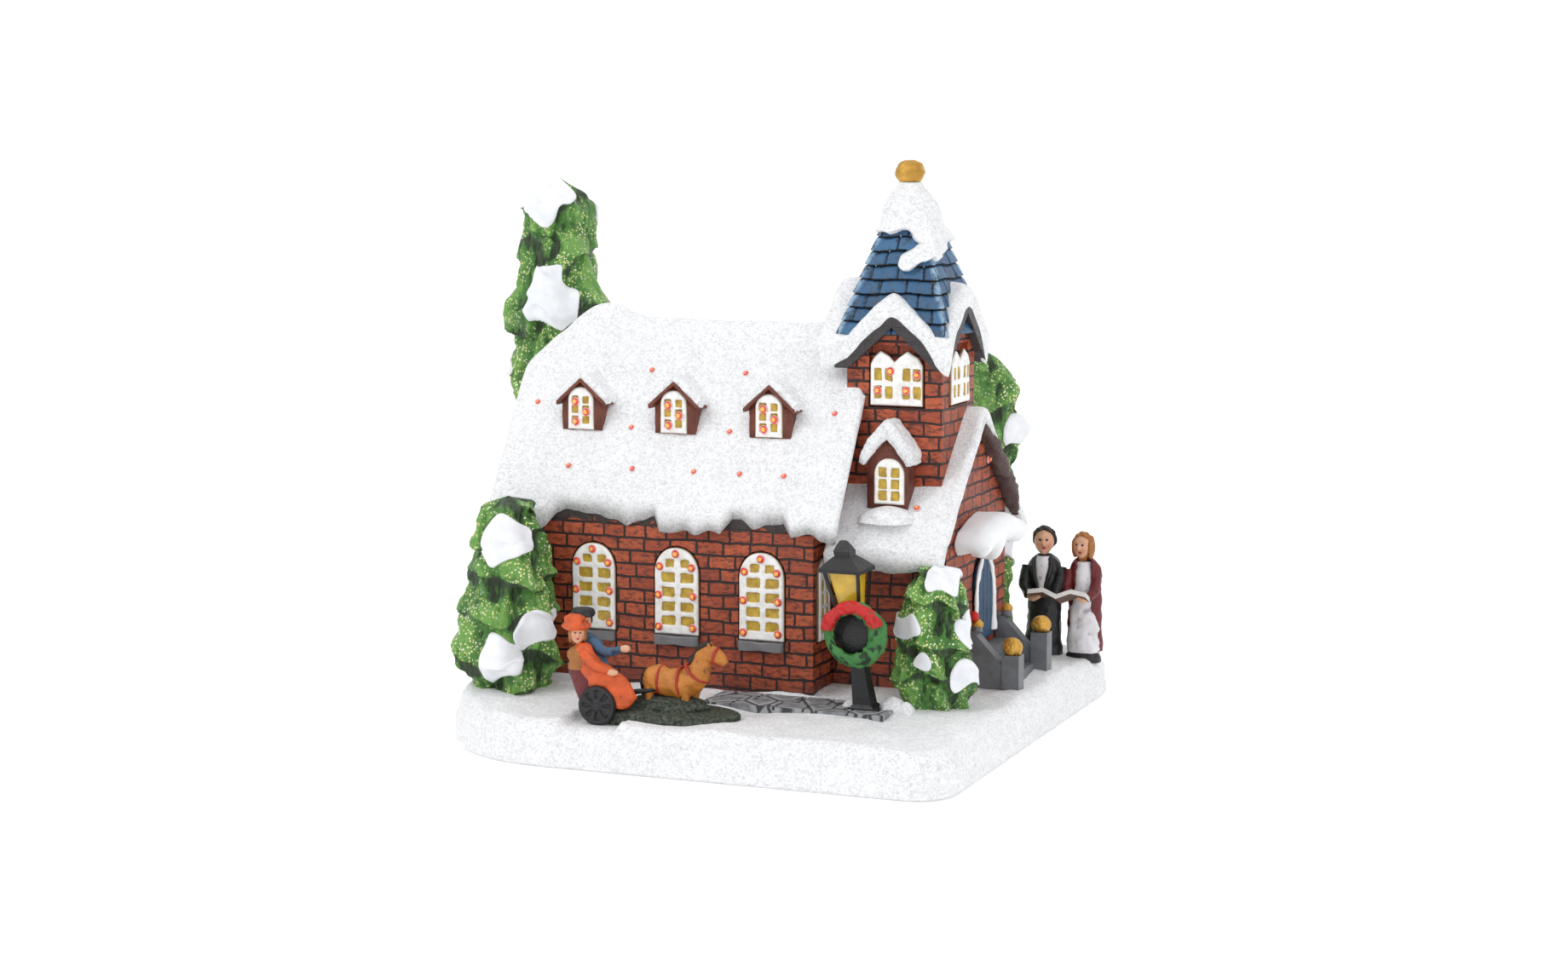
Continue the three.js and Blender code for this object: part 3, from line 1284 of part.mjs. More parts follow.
function wreath() {
  const { z, radius, tube } = wreathPlace;
  const ring = solid(new THREE.TorusGeometry(radius, tube, 5, 12).rotateX(Math.PI / 2));
  const loops = [-1, 1].map((side) => ball(2, side * 2.2, -1, radius + 0.2, [1.25, 0.6, 0.8], 6));
  const tails = [-1, 1].map((side) => limb(
    [[side * 0.4, -1.6, radius], [side * 3.2, -1.8, radius - 3.1]], [0.7, 0.9], 4,
  ));
  const front = lampStand[1] - 2.7 - seatGap - tube;
  return join([ring, ...loops, ...tails]).translate([lampAt(z) + 1.6, front, z]);
}

// Singers sharing one book

// The partner stands on side +1 or -1
function singer([x, y, halfX, halfY, seat], tall, skirt, partner) {
  const up = (share) => seat + tall * share;
  const figure = column([
    [seat, halfX, halfY, x, y], [seat + 3.2, halfX * (skirt ? 0.98 : 0.84), halfY * 0.9, x, y],
    [up(0.58), halfX * 0.82, halfY * 0.76, x, y], [up(0.72), halfX * 0.98, halfY * 0.78, x, y],
    [up(0.76), 1.4, 1.3, x, y], [up(0.79), 1.3, 1.3, x, y - 0.1], [up(0.83), 2.3, 2.2, x, y - 0.1],
    [up(0.9), 2.8, 2.7, x, y], [up(0.965), 2.3, 2.3, x, y + 0.2], [up(1), 0.9, 0.9, x, y + 0.3],
  ], 7);
  const elbow = (side) => x + side * halfX * (side === partner ? 0.8 : 1.12);
  const arms = [-1, 1].map((side) => limb([
    [(x + elbow(side)) / 2 + side * halfX * 0.36, y, seat + tall * 0.69], [elbow(side), y - 1, seat + tall * 0.56],
    [x + side * halfX * 0.6 + partner, y - 4, seat + tall * 0.5],
  ], [1.3, 1.3, 0.9], 4));
  return join([figure, ...arms]);
}

const bookHeight = 16.4;

function songBook(grow = 0) {
  const middleX = (stands.man[0] + stands.woman[0]) / 2 + 0.8;
  const depth = 4.6;
  let body = alongY([[0, -grow], [3.4, 1.5 - grow], [7.2 + grow, 0.9 - grow], [7.2 + grow, 2 + grow],
    [3.4, 2.6 + grow], [0, 1.2 + grow], [-3.4, 2.6 + grow], [-7.2 - grow, 2 + grow], [-7.2 - grow, 0.9 - grow],
    [-3.4, 1.5 - grow]], -grow, depth + grow);
  body = body.rotate([-24, 0, 0]);
  return body.translate([middleX, stands.man[1] - 9.2, stands.man[4] + bookHeight]);
}

// Underside and inner pieces

function screw(side) {
  const [x, y] = [side * screwX, -side * screwY];
  const top = coverTop + screwLength - seatGap;
  const headLow = coverBottom + 0.2;
  let body = upright(screwHeadRadius, headLow, headLow + 1.1, x, y, 8, screwHeadRadius * 0.9);
  body = body.add(upright(screwRadius, headLow + 1, top, x, y, 6));
  body = body.subtract(box([x - 1.6, y - 0.3, 0], [x + 1.6, y + 0.3, headLow + 0.5]));
  return body.subtract(box([x - 0.3, y - 1.6, 0], [x + 0.3, y + 1.6, headLow + 0.5]));
}

function cell(k) {
  const y = boxFront + cellSpacing + cellRadius + k * (2 * cellRadius + cellSpacing);
  const flip = k % 2 === 0 ? 1 : -1;
  const capLength = 1;
  const profile = [[0, 0], [cellRadius, 0], [cellRadius, cellLength - capLength - 0.4],
    [cellRadius - 0.4, cellLength - capLength], [1.9, cellLength - capLength], [1.9, cellLength], [0, cellLength]];
  const lathe = new THREE.LatheGeometry(profile.map(([r, z]) => new THREE.Vector2(r, z)), 12);
  lathe.translate(0, -cellLength / 2, 0).rotateZ((-flip * Math.PI) / 2);
  return solid(lathe.translate(batteryCentreX, y, cellBottom + cellRadius));
}

function contact(side) {
  const wall = side < 0 ? boxLeft : boxLeft + boxInnerX;
  const inward = -side;
  const low = [Math.min(wall, wall + inward * contactThickness), boxFront + 1, cellBottom + 1.2];
  const high = [Math.max(wall, wall + inward * contactThickness), boxFront + boxInnerY - 1, cellBottom + 9.6];
  let body = box(low, high);
  for (let k = 0; k < cellCount; k += 1) {
    const y = boxFront + cellSpacing + cellRadius + k * (2 * cellRadius + cellSpacing);
    const from = [wall + inward * 0.1, y, cellBottom + cellRadius];
    const to = [wall + inward * (contactSpace - seatGap), y, cellBottom + cellRadius];
    body = body.add(limb([from, to], [3.2, 1.6], 6));
  }
  return body;
}

function switchBody() {
  const [length, width, height] = switchSize;
  const low = [switchX - length / 2, switchY - width / 2, coverTop];
  const high = [switchX + length / 2, switchY + width / 2, coverTop + height];
  const roomX = (knobFlange[0] + switchTravel) / 2 + seatGap;
  const roomY = knobFlange[1] / 2 + seatGap;
  const roomTop = coverTop + 2 * seatGap + knobFlange[2];
  return box(low, high).subtract(box([switchX - roomX, switchY - roomY, 0], [switchX + roomX, switchY + roomY, roomTop]));
}

function switchKnob() {
  const x = switchX - switchTravel / 2;
  const [length, width] = knobSize;
  const flangeLow = coverTop + seatGap;
  const stem = box([x - length / 2, switchY - width / 2, 0.5], [x + length / 2, switchY + width / 2, flangeLow + 0.5]);
  const flange = box(
    [x - knobFlange[0] / 2, switchY - knobFlange[1] / 2, flangeLow],
    [x + knobFlange[0] / 2, switchY + knobFlange[1] / 2, flangeLow + knobFlange[2]],
  );
  return stem.add(flange);
}

function ledLamp() {
  const flange = upright(lampRadius + 0.4, boardTop, boardTop + 1, towerX, towerY, 6);
  const can = upright(lampRadius, boardTop + 0.5, lampTop - lampRadius, towerX, towerY, 6);
  const dome = ball(lampRadius, towerX, towerY, lampTop - lampRadius, [1, 1, 1], 6);
  return join([flange, can, dome]);
}

function fibreCollar() {
  const outer = upright(collarRadius, boardTop, coreTop - 2.6, towerX, towerY, 12);
  return outer.subtract(upright(2.9 + 2 * seatGap, 0, skyHeight, towerX, towerY, 12));
}

function lampLead() {
  const start = switchX + switchSize[0] / 2 + seatGap;
  const z = coverTop + 0.9;
  const end = towerX - 5.6;
  return limb([
    [start, switchY, z], [start + 2, switchY, z], [24, switchY + 0.6, z], [end - 3, towerY - 0.6, z],
    [end - 0.8, towerY - 0.2, z + 0.1], [end, towerY, z + 0.8], [end + 0.1, towerY, boardBottom - seatGap],
  ], 0.6, 5);
}

// Assembly

place('snow_base', snowBase(), 'snow');
place('base_cover', baseCover(), 'plastic');
[[-1, -1], [1, -1], [1, 1], [-1, 1]].forEach(([sx, sy], k) => {
  const inset = sx < 0 && sy < 0 ? frontLeftPadInset : 0;
  place(`foot_pad_${k + 1}`, upright(padRadius, 0, padHeight, sx * (padX - inset), sy * (padY - inset), 12), 'felt');
});
place('cover_screw_1', screw(-1), 'steel');
place('cover_screw_2', screw(1), 'steel');
place('battery_door', batteryDoor(), 'plastic');
for (let k = 0; k < cellCount; k += 1) {
  place(`battery_cell_${k + 1}`, cell(k), 'wrap');
}
place('contact_strip_left', contact(-1), 'steel');
place('contact_strip_right', contact(1), 'steel');
place('switch_body', switchBody(), 'steel');
place('switch_knob', switchKnob(), 'plastic');
place('lamp_board', upright(7, boardBottom, boardTop, towerX, towerY, 12), 'board');
place('led_lamp', ledLamp(), 'glass');
place('fibre_collar', fibreCollar(), 'plastic');
place('fibre_bundle', fibreBundle(), 'fibre');
place('lamp_lead', lampLead(), 'maroon');

place('nave_walls', naveWalls(), 'brick');
place('nave_roof_snow', naveRoof(), 'snow');
dormerXs.forEach((x, k) => place(`roof_dormer_${k + 1}`, dormer(x), 'brick'));
windowXs.forEach((x, k) => place(`nave_window_${k + 1}`, naveWindow(x, false), 'window'));
backWindowXs.forEach((x, k) => place(`back_window_${k + 1}`, naveWindow(x, true), 'window'));
place('side_window', sideWindow(), 'window');
place('tower_walls', towerWalls(), 'brick');
place('tower_gable_snow', towerSnow(), 'snow');
place('spire', spire(), 'tile');
place('spire_snow', spireSnow(), 'snow');
place('finial', finial(), 'gold');
const twin = twinWindow(twinWidth, twinHeight);
place('tower_window_front', twin.translate([twinFrontX, towerFace, twinSill]).subtract(boresOf('tower')), 'window');
const twinEast = twin.rotate([0, 0, 90]).translate([towerX + towerHalf + windowProud, towerY, twinSill]);
place('tower_window_side', twinEast, 'window');
place('porch_walls', porchWalls(), 'brick');
place('porch_roof_snow', porchRoof(), 'snow');
place('porch_dormer', porchDormer(), 'brick');
place('front_door', frontDoor(), 'blue');
place('door_canopy', doorCanopy(), 'snow');
place('door_steps', steps(), 'stone');

place('flagstones', flagstones(), 'stone');
place('grass_mound', grassMound(), 'grass');
place('carriage', carriage(), 'black');
place('riders', riders(), 'orange');
place('horse', horse(), 'ochre');
place('lamp_post', lampPost(), 'black');
place('lamp_glass', lampGlass(), 'glass');
place('lamp_wreath', wreath(), 'green');
const backProfile = [
  [9, 6.2], [18, 7], [68, 8], [78, 12], [84, 10.4], [93, 13.4], [99, 10], [106, 9], [112, 8.4], [118, 9.2], [126, 3],
];
const backTree = tree(stands.backTree, 7, backProfile);
place('tree_back_left', largest(backTree.subtract(naveBlock())), 'green');
const frontTree = tree(stands.frontTree, 5, [[9, 7.6], [16, 11], [30, 10.2], [45, 8.2], [52, 6.4], [55, 3]]);
place('tree_front_left', frontTree, 'green');
const doorTree = tree(stands.doorTree, 4, [[9, 6.4], [16, 8.8], [25, 7.8], [36, 6], [42, 4], [44.5, 1.5]]);
place('tree_by_door', largest(doorTree.subtract(porchBlock())), 'green');
const rearProfile = [[9, 6], [30, 6.6], [50, 7], [60, 7], [66, 10.2], [71, 6.8], [76, 8], [85, 1.5]];
const rearTree = tree(stands.rearTree, 6, rearProfile);
place('tree_back_right', largest(rearTree.subtract(porchBlock())), 'green');
const book = songBook(seatGap);
place('singer_man', singer(stands.man, 33, false, 1).subtract(book), 'black');
place('singer_woman', singer(stands.woman, 32, true, -1).subtract(book), 'maroon');
place('song_book', songBook(), 'paper');

const extent = new THREE.Box3().setFromObject(house);
const middle = extent.getCenter(new THREE.Vector3());
house.position.set(-middle.x, -middle.y, 0);

export default house;
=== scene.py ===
"""Finish of the snowy village house: painted resin, glittering snow, brick relief and red fibre ends.

Shapes are worked out in millimetres in the frame that the part's own sizes use, and settle() turns them to metres.
"""
from math import radians

import bpy
import numpy as np
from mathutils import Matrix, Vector


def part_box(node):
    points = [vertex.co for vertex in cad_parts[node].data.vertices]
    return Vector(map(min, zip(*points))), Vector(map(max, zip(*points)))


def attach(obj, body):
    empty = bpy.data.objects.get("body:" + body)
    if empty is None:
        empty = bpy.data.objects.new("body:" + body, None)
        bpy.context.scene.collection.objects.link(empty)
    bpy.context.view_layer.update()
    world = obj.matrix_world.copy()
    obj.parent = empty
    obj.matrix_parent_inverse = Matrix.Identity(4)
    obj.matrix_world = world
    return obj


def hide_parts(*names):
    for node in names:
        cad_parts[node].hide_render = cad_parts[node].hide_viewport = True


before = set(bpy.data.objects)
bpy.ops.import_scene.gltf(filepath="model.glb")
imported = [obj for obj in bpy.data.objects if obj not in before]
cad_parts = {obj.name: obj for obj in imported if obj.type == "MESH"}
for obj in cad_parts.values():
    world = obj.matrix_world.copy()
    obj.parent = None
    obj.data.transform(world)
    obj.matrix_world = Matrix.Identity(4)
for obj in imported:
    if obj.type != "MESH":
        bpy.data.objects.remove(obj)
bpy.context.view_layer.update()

# The front left corner of the nave lies at -52, -22 in the part's own sizes
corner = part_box("nave_walls")[0]
SHIFT = np.array([corner.x * 1000 + 52.0, corner.y * 1000 + 22.0, 0.0])
UP = np.array([0.0, 0.0, 1.0])
# The camera's turn about the vertical, and the way to the right as it sees it
VIEW = radians(22)
SEEN = np.array([np.cos(VIEW), np.sin(VIEW), 0.0])

# Middles and lines that more than one piece needs, in millimetres
TOWER_X, TOWER_Y = 37.35, 4.75
RIDGE_Y, RIDGE, PITCH = 2.0, 93.0, 1.556
SPIRE_FOOT, SPIRE_HALF, SPIRE_TAPER = 93, 12.6, 0.325
HORSE_Y = -47
WREATH = (38.2, -34.2, 28.6)


# Arrays and noise

def settle(points):
    """Metres in the frame of the part: the millimetres moved by the shift and divided by a thousand."""
    return (np.asarray(points, float) + SHIFT) / 1000


def bearings(count):
    """Even angles once round, the last one short of the first."""
    return np.linspace(0, 2 * np.pi, count, endpoint=False)


def xyz(x, y, z):
    """Points from their three coordinates, each an array or one number for all."""
    return np.stack(np.broadcast_arrays(x, y, z), -1)


def unit(value):
    """Kept between 0 and 1."""
    return np.clip(value, 0, 1)


def ease(value, start=0.0, end=1.0):
    """Soft step: 3 t squared less 2 t cubed, with t the share of the way from start to end."""
    t = unit((value - start) / (end - start))
    return t * t * (3 - 2 * t)


def chance(corner, seed):
    """Fixed number from 0 to 1 for a lattice corner: the fraction of a large sine of its coordinates."""
    turn = corner @ np.array([127.1, 311.7, 74.7]) + seed * 19.19
    return np.modf(np.abs(np.sin(turn) * 43758.5453))[0]


def lumps(points, size, seed=0):
    """Soft bumps from -1 to 1: the chances of the eight lattice corners round a point, blended by its eased place."""
    cell = np.asarray(points, float) / size
    corner = np.floor(cell)
    part = cell - corner
    part = part * part * (3 - 2 * part)
    total = 0
    for dx in (0, 1):
        for dy in (0, 1):
            for dz in (0, 1):
                near = np.array([dx, dy, dz])
                weight = np.prod(np.where(near, part, 1 - part), axis=-1)
                total = total + weight * chance(corner + near, seed)
    return 2 * total - 1


def crags(points, size, seed):
    """Bumps with bumps of half their size and half their height on them."""
    return lumps(points, size, seed) + lumps(points, size / 2, seed + 1) / 2


def between(rows, count):
    """Rows on a smooth curve through the given ones: a cubic whose slope at a row is half its neighbours' step."""
    rows = np.asarray(rows, float)
    place = np.linspace(0, len(rows) - 1, count)
    at = np.clip(np.floor(place).astype(int), 0, len(rows) - 2)
    t = (place - at).reshape((-1,) + (1,) * (rows.ndim - 1))
    before, here = rows[np.clip(at - 1, 0, None)], rows[at]
    after, beyond = rows[at + 1], rows[np.clip(at + 2, None, len(rows) - 1)]
    slope, next_slope = (after - before) / 2, (beyond - here) / 2
    rise = after - here
    return here + t * slope + t ** 2 * (3 * rise - 2 * slope - next_slope) + t ** 3 * (slope + next_slope - 2 * rise)


# Meshes

def quads(rows, columns, around=True, along=False):
    """Faces between neighbouring rows and columns, with the last joined to the first where the surface closes."""
    r, c = np.meshgrid(np.arange(rows if along else rows - 1), np.arange(columns if around else columns - 1),
                       indexing="ij")
    r1, c1 = (r + 1) % rows, (c + 1) % columns
    return np.stack([r * columns + c, r * columns + c1, r1 * columns + c1, r1 * columns + c], -1).reshape(-1, 4)


def volume(points, faces):
    """Six times the volume inside: the sum over the faces of the triple product of their corners."""
    a, b, c, d = (points[faces[:, k]] for k in range(4))
    return np.einsum("ij,ij->", a, np.cross(b, c)) + np.einsum("ij,ij->", a, np.cross(c, d))


def piece(name, points, faces, finish, body="house", facts=None, node=None):
    """A mesh whose faces look outwards: it rides on a body, carries named values per point, may replace a node."""
    mesh = bpy.data.meshes.new(name)
    mesh.from_pydata(settle(points).tolist(), [], faces)
    mesh.shade_smooth()
    for fact, values in (facts or {}).items():
        mesh.attributes.new(fact, "FLOAT", "POINT").data.foreach_set("value", np.ravel(values).astype(np.float32))
    mesh.materials.append(finish)
    made = bpy.data.objects.new(name, mesh)
    bpy.context.scene.collection.objects.link(made)
    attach(made, body)
    if node:
        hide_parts(node)


def skin(name, rows, finish, along=False, facts=None, ladder=False, node=None):
    """A surface round its rows; where it doesn't close on itself, each end row is filled by a fan round its middle,
    or by a ladder between its outer half and its inner half where it is a bent band."""
    count, sides = rows.shape[:2]
    points = rows.reshape(-1, 3)
    faces = quads(count, sides, True, along)
    facts = {k: np.broadcast_to(v, rows.shape[:2]).reshape(-1) for k, v in (facts or {}).items()}
    last = (count - 1) * sides
    if along:
        ends = faces[:0]
    elif ladder:
        k = np.arange(sides // 2 - 1)
        rungs = np.stack([k, k + 1, sides - 2 - k, sides - 1 - k], 1)
        ends = np.vstack([rungs[:, ::-1], last + rungs])
    else:
        ring, after, middle = np.arange(sides), np.roll(np.arange(sides), -1), np.full(sides, count * sides)
        ends = np.vstack([np.stack([middle, after, ring, ring], 1),
                          np.stack([middle + 1, last + ring, last + after, last + after], 1)])
        points = np.vstack([points, rows[0].mean(0), rows[-1].mean(0)])
        facts = {k: np.concatenate([v, [v[:sides].mean(), v[-sides:].mean()]]) for k, v in facts.items()}
    turn = -1 if volume(settle(points), np.vstack([faces, ends])) < 0 else 1
    ends = ends if along or ladder else ends[:, :3]
    piece(name, points, faces[:, ::turn].tolist() + ends[:, ::turn].tolist(), finish, facts=facts, node=node)


def copies(name, shape, faces, places, finish, facts):
    """Many small like shapes in one mesh: the shape's points turned by each place's three axes and moved to it."""
    turned = np.einsum("pk,nkj->npj", shape, places[:, 1:4]) + places[:, None, 0]
    moved = faces[None] + (np.arange(len(places)) * len(shape))[:, None, None]
    facts = {k: np.broadcast_to(v, turned.shape[:2]).reshape(-1) for k, v in facts.items()}
    piece(name, turned.reshape(-1, 3), moved.reshape(-1, moved.shape[-1]).tolist(), finish, facts=facts)


def stance(point, out, size=1.0):
    """Place of a copy: its origin, then two axes across the way out and the way out itself, all scaled."""
    out = np.asarray(out, float) / np.linalg.norm(out)
    side = np.cross(UP if abs(out[2]) < 0.9 else np.array([1.0, 0, 0]), out)
    side /= np.linalg.norm(side)
    return np.array([point, side * size, np.cross(out, side) * size, out * size])


def dome(rings, sides=10):
    """Turned shape through pairs of radius and height, from its rim to its tip, closed below by a flat fan."""
    turn = bearings(sides)
    rows = [np.stack([r * np.cos(turn), r * np.sin(turn), np.full(sides, h)], 1) for r, h in rings]
    points = np.vstack(rows + [[[0, 0, rings[0][1]]], [[0, 0, rings[-1][1]]]])
    ring = np.arange(sides)
    walls = quads(len(rings), sides)
    foot, tip = np.full(sides, len(points) - 2), np.full(sides, len(points) - 1)
    last = (len(rings) - 1) * sides
    return points, np.vstack([walls[:, [0, 1, 2]], walls[:, [0, 2, 3]], np.stack([foot, np.roll(ring, -1), ring], 1),
                              np.stack([tip, last + ring, last + np.roll(ring, -1)], 1)])


def loft(sections, sides=24, count=40):
    """Rows of ellipses through sections of height, half width, half depth, middle x and middle y."""
    sections = between(np.array([list(s) + [0, 0] if len(s) == 3 else list(s) for s in sections], float), count)
    angle = bearings(sides)
    z, wide, deep, x, y = (sections[:, k, None] for k in range(5))
    return xyz(x + wide * np.cos(angle), y + deep * np.sin(angle), z)


def tube(path, radii, sides=10, count=24, flat=1.0):
    """Rows of circles square to a smooth path: each ring's axes follow from the path's direction and one side."""
    path = between(path, count)
    size = between(radii, count)
    ahead = np.gradient(path, axis=0)
    ahead /= np.linalg.norm(ahead, axis=1, keepdims=True)
    start = UP if abs(ahead[:, 2]).mean() < 0.8 else np.array([1.0, 0, 0])
    side = np.cross(ahead, start)
    side /= np.linalg.norm(side, axis=1, keepdims=True)
    other = np.cross(side, ahead) * flat
    angle = bearings(sides)
    ring = side[:, None] * np.cos(angle)[:, None] + other[:, None] * np.sin(angle)[:, None]
    return path[:, None] + size[:, None, None] * ring


def puff(rows, height, size, seed):
    """Rows pushed out from their middle line by bumps of that height and size."""
    middle = rows.mean(1, keepdims=True)
    away = rows - middle
    away /= np.maximum(np.linalg.norm(away, axis=-1, keepdims=True), 1e-6)
    return rows + away * (height * crags(rows, size, seed))[..., None]


# Finishes: shader nodes

class Recipe:
    """Short calls that add the nodes of one material or shader group."""

    def __init__(self, tree):
        self.tree = tree

    def node(self, kind, **settings):
        made = self.tree.nodes.new(kind)
        for key, value in settings.items():
            setattr(made, key, value)
        return made

    def feed(self, socket, value):
        if isinstance(value, bpy.types.NodeSocket):
            self.tree.links.new(value, socket)
        elif isinstance(value, tuple) and len(value) == 3 and socket.type == "RGBA":
            socket.default_value = (*value, 1.0)
        else:
            socket.default_value = value

    def math(self, operation, a, b=0.0):
        made = self.node("ShaderNodeMath", operation=operation)
        for socket, value in zip(made.inputs, (a, b)):
            self.feed(socket, value)
        return made.outputs[0]

    def times(self, a, b):
        return self.math("MULTIPLY", a, b)

    def plus(self, a, b):
        return self.math("ADD", a, b)

    def less(self, a, b):
        return self.math("SUBTRACT", a, b)

    def axes(self, vector):
        parts = self.node("ShaderNodeSeparateXYZ")
        self.feed(parts.inputs[0], vector)
        return parts.outputs

    def span(self, value, low, high, to_low=0.0, to_high=1.0):
        made = self.node("ShaderNodeMapRange", interpolation_type="SMOOTHSTEP")
        for socket, part in zip(made.inputs, (value, low, high, to_low, to_high)):
            self.feed(socket, part)
        return made.outputs[0]

    def blend(self, share, a, b, way="MIX"):
        made = self.node("ShaderNodeMix", data_type="RGBA", blend_type=way)
        self.feed(made.inputs["Factor"], share)
        self.feed(made.inputs[6], a)
        self.feed(made.inputs[7], b)
        return made.outputs[2]

    def place(self):
        return self.node("ShaderNodeTexCoord").outputs["Object"]

    def noise(self, vector, millimetres, detail=3.0, rough=0.55, stretch=None):
        if stretch:
            turned = self.node("ShaderNodeMapping")
            self.feed(turned.inputs["Vector"], vector)
            turned.inputs["Scale"].default_value = stretch
            vector = turned.outputs[0]
        made = self.node("ShaderNodeTexNoise")
        self.feed(made.inputs["Vector"], vector)
        made.inputs["Scale"].default_value = 1000.0 / millimetres
        made.inputs["Detail"].default_value = detail
        made.inputs["Roughness"].default_value = rough
        return made.outputs["Fac"]

    def flakes(self, vector, millimetres):
        """Distance from the middle of a cell, and the cell's own random number."""
        made = self.node("ShaderNodeTexVoronoi")
        self.feed(made.inputs["Vector"], vector)
        made.inputs["Scale"].default_value = 1000.0 / millimetres
        parts = self.node("ShaderNodeSeparateColor")
        self.feed(parts.inputs[0], made.outputs["Color"])
        return made.outputs["Distance"], parts.outputs[0]

    def fact(self, name):
        return self.node("ShaderNodeAttribute", attribute_name=name).outputs["Fac"]

    def bump(self, height, millimetres, strength=1.0):
        made = self.node("ShaderNodeBump")
        made.inputs["Strength"].default_value = strength
        made.inputs["Distance"].default_value = millimetres / 1000
        self.feed(made.inputs["Height"], height)
        return made.outputs[0]


def group(name, inputs, outputs, build):
    """A shader group with named inputs (name: default) and outputs, filled in by build(recipe, entry, exit)."""
    tree = bpy.data.node_groups.new(name, "ShaderNodeTree")
    for key, value in inputs.items():
        kind = "NodeSocketColor" if isinstance(value, tuple) else "NodeSocketFloat"
        socket = tree.interface.new_socket(key, in_out="INPUT", socket_type=kind)
        socket.default_value = value
    for key, kind in outputs.items():
        tree.interface.new_socket(key, in_out="OUTPUT", socket_type=kind)
    recipe = Recipe(tree)
    entry, way_out = recipe.node("NodeGroupInput"), recipe.node("NodeGroupOutput")
    build(recipe, entry.outputs, way_out.inputs)
    return tree


def build_glitter(r, entry, out):
    """Flakes: cells whose random number is above one less the share, near their middle."""
    distance, number = r.flakes(r.place(), 0.6)
    lit = r.math("GREATER_THAN", number, r.less(1.0, entry["Share"]))
    core = r.span(distance, 0.48, 0.3)
    patch = r.span(r.noise(r.place(), 7.0, 2.0), entry["Thin"], 0.62)
    r.feed(out["Mask"], r.times(r.times(lit, core), patch))
    r.feed(out["Number"], number)


def build_grain(r, entry, out):
    """Cast and painted skin: soft unevenness, fine pits and a colour that drifts a little."""
    place = r.place()
    coarse = r.noise(place, 3.2, 3.0)
    fine = r.noise(place, 0.55, 2.0)
    r.feed(out["Height"], r.plus(r.times(coarse, 0.7), r.times(fine, entry["Fine"])))
    shade = r.span(coarse, 0.3, 0.7)
    dark = r.blend(entry["Drift"], entry["Color"], r.blend(1.0, entry["Color"], (0.55, 0.5, 0.48, 1.0), "MULTIPLY"))
    r.feed(out["Color"], r.blend(shade, dark, entry["Color"]))


GLITTER = group("glitter_flakes", {"Share": 0.1, "Thin": 0.3},
                {"Mask": "NodeSocketFloat", "Number": "NodeSocketFloat"}, build_glitter)
GRAIN = group("painted_grain", {"Color": (0.8, 0.8, 0.8, 1.0), "Drift": 0.35, "Fine": 0.3},
              {"Color": "NodeSocketColor", "Height": "NodeSocketFloat"}, build_grain)


def use(recipe, tree, **values):
    """A placed group with its own values."""
    made = recipe.node("ShaderNodeGroup", node_tree=tree)
    for key, value in values.items():
        recipe.feed(made.inputs[key.replace("_", " ")], value)
    return made.outputs


def material(name, build, **plain):
    """A material round one Principled shader: plain values go straight on its sockets, build() gives the rest."""
    made = bpy.data.materials.new(name)
    made.use_nodes = True
    recipe = Recipe(made.node_tree)
    shader = made.node_tree.nodes["Principled BSDF"]
    for key, value in plain.items():
        shader.inputs[key.replace("_", " ")].default_value = value
    for key, value in build(recipe).items():
        recipe.feed(shader.inputs[key], value)
    return made


def painted(name, colour, rough=0.5, drift=0.45, fine=0.35, depth=0.12, painted_shade=None, light=None, **plain):
    """Painted resin; painted shade where the piece's relief is low and painted highlights where it is high."""
    def build(r):
        grain = use(r, GRAIN, Color=(*colour, 1.0), Drift=drift, Fine=fine)
        shade = grain["Color"]
        if painted_shade or light:
            relief = r.plus(r.fact("relief"), r.times(r.less(grain["Height"], 0.5), 0.5))
        # painted shade where the relief is low
        if painted_shade:
            shade = r.blend(r.span(relief, 0.52, 0.14), shade, painted_shade)
        # painted highlight where the relief is high
        if light:
            shade = r.blend(r.span(relief, 0.6, 0.95), shade, light)
        return {"Base Color": shade, "Normal": r.bump(grain["Height"], depth),
                "Roughness": r.span(grain["Height"], 0.2, 0.8, rough - 0.08, rough + 0.1)}
    return material(name, build, **plain)


def snow_recipe(share, tint=(0.94, 0.945, 0.955)):
    """White painted snow: grey and white grains with a sparkling scatter."""
    def build(r):
        flake = use(r, GLITTER, Share=share, Thin=0.2)
        place = r.place()
        cloud = r.span(r.noise(place, 5.0, 4.0), 0.25, 0.8)
        base = r.blend(cloud, tuple(0.93 * c for c in tint), tint)
        if share > 0:
            grain = r.flakes(place, 0.42)[1]
            base = r.blend(r.span(grain, 0.75, 0.0, 0.0, 0.55), base, (0.6, 0.61, 0.63))
        grit = r.noise(place, 0.7, 3.0, 0.7)
        pores = r.span(r.flakes(place, 0.5)[1], 0.9, 0.94)
        base = r.blend(r.times(pores, 0.35 if share > 0 else 0.05), base, (0.5, 0.53, 0.57))
        base = r.blend(flake["Mask"], base, (1.0, 1.0, 1.0))
        height = r.plus(grit, r.times(flake["Mask"], 0.5))
        return {"Base Color": base, "Normal": r.bump(height, 0.3 if share > 0 else 0.08, 0.8),
                "Roughness": r.span(flake["Mask"], 0.0, 1.0, 0.68, 0.25)}
    return build


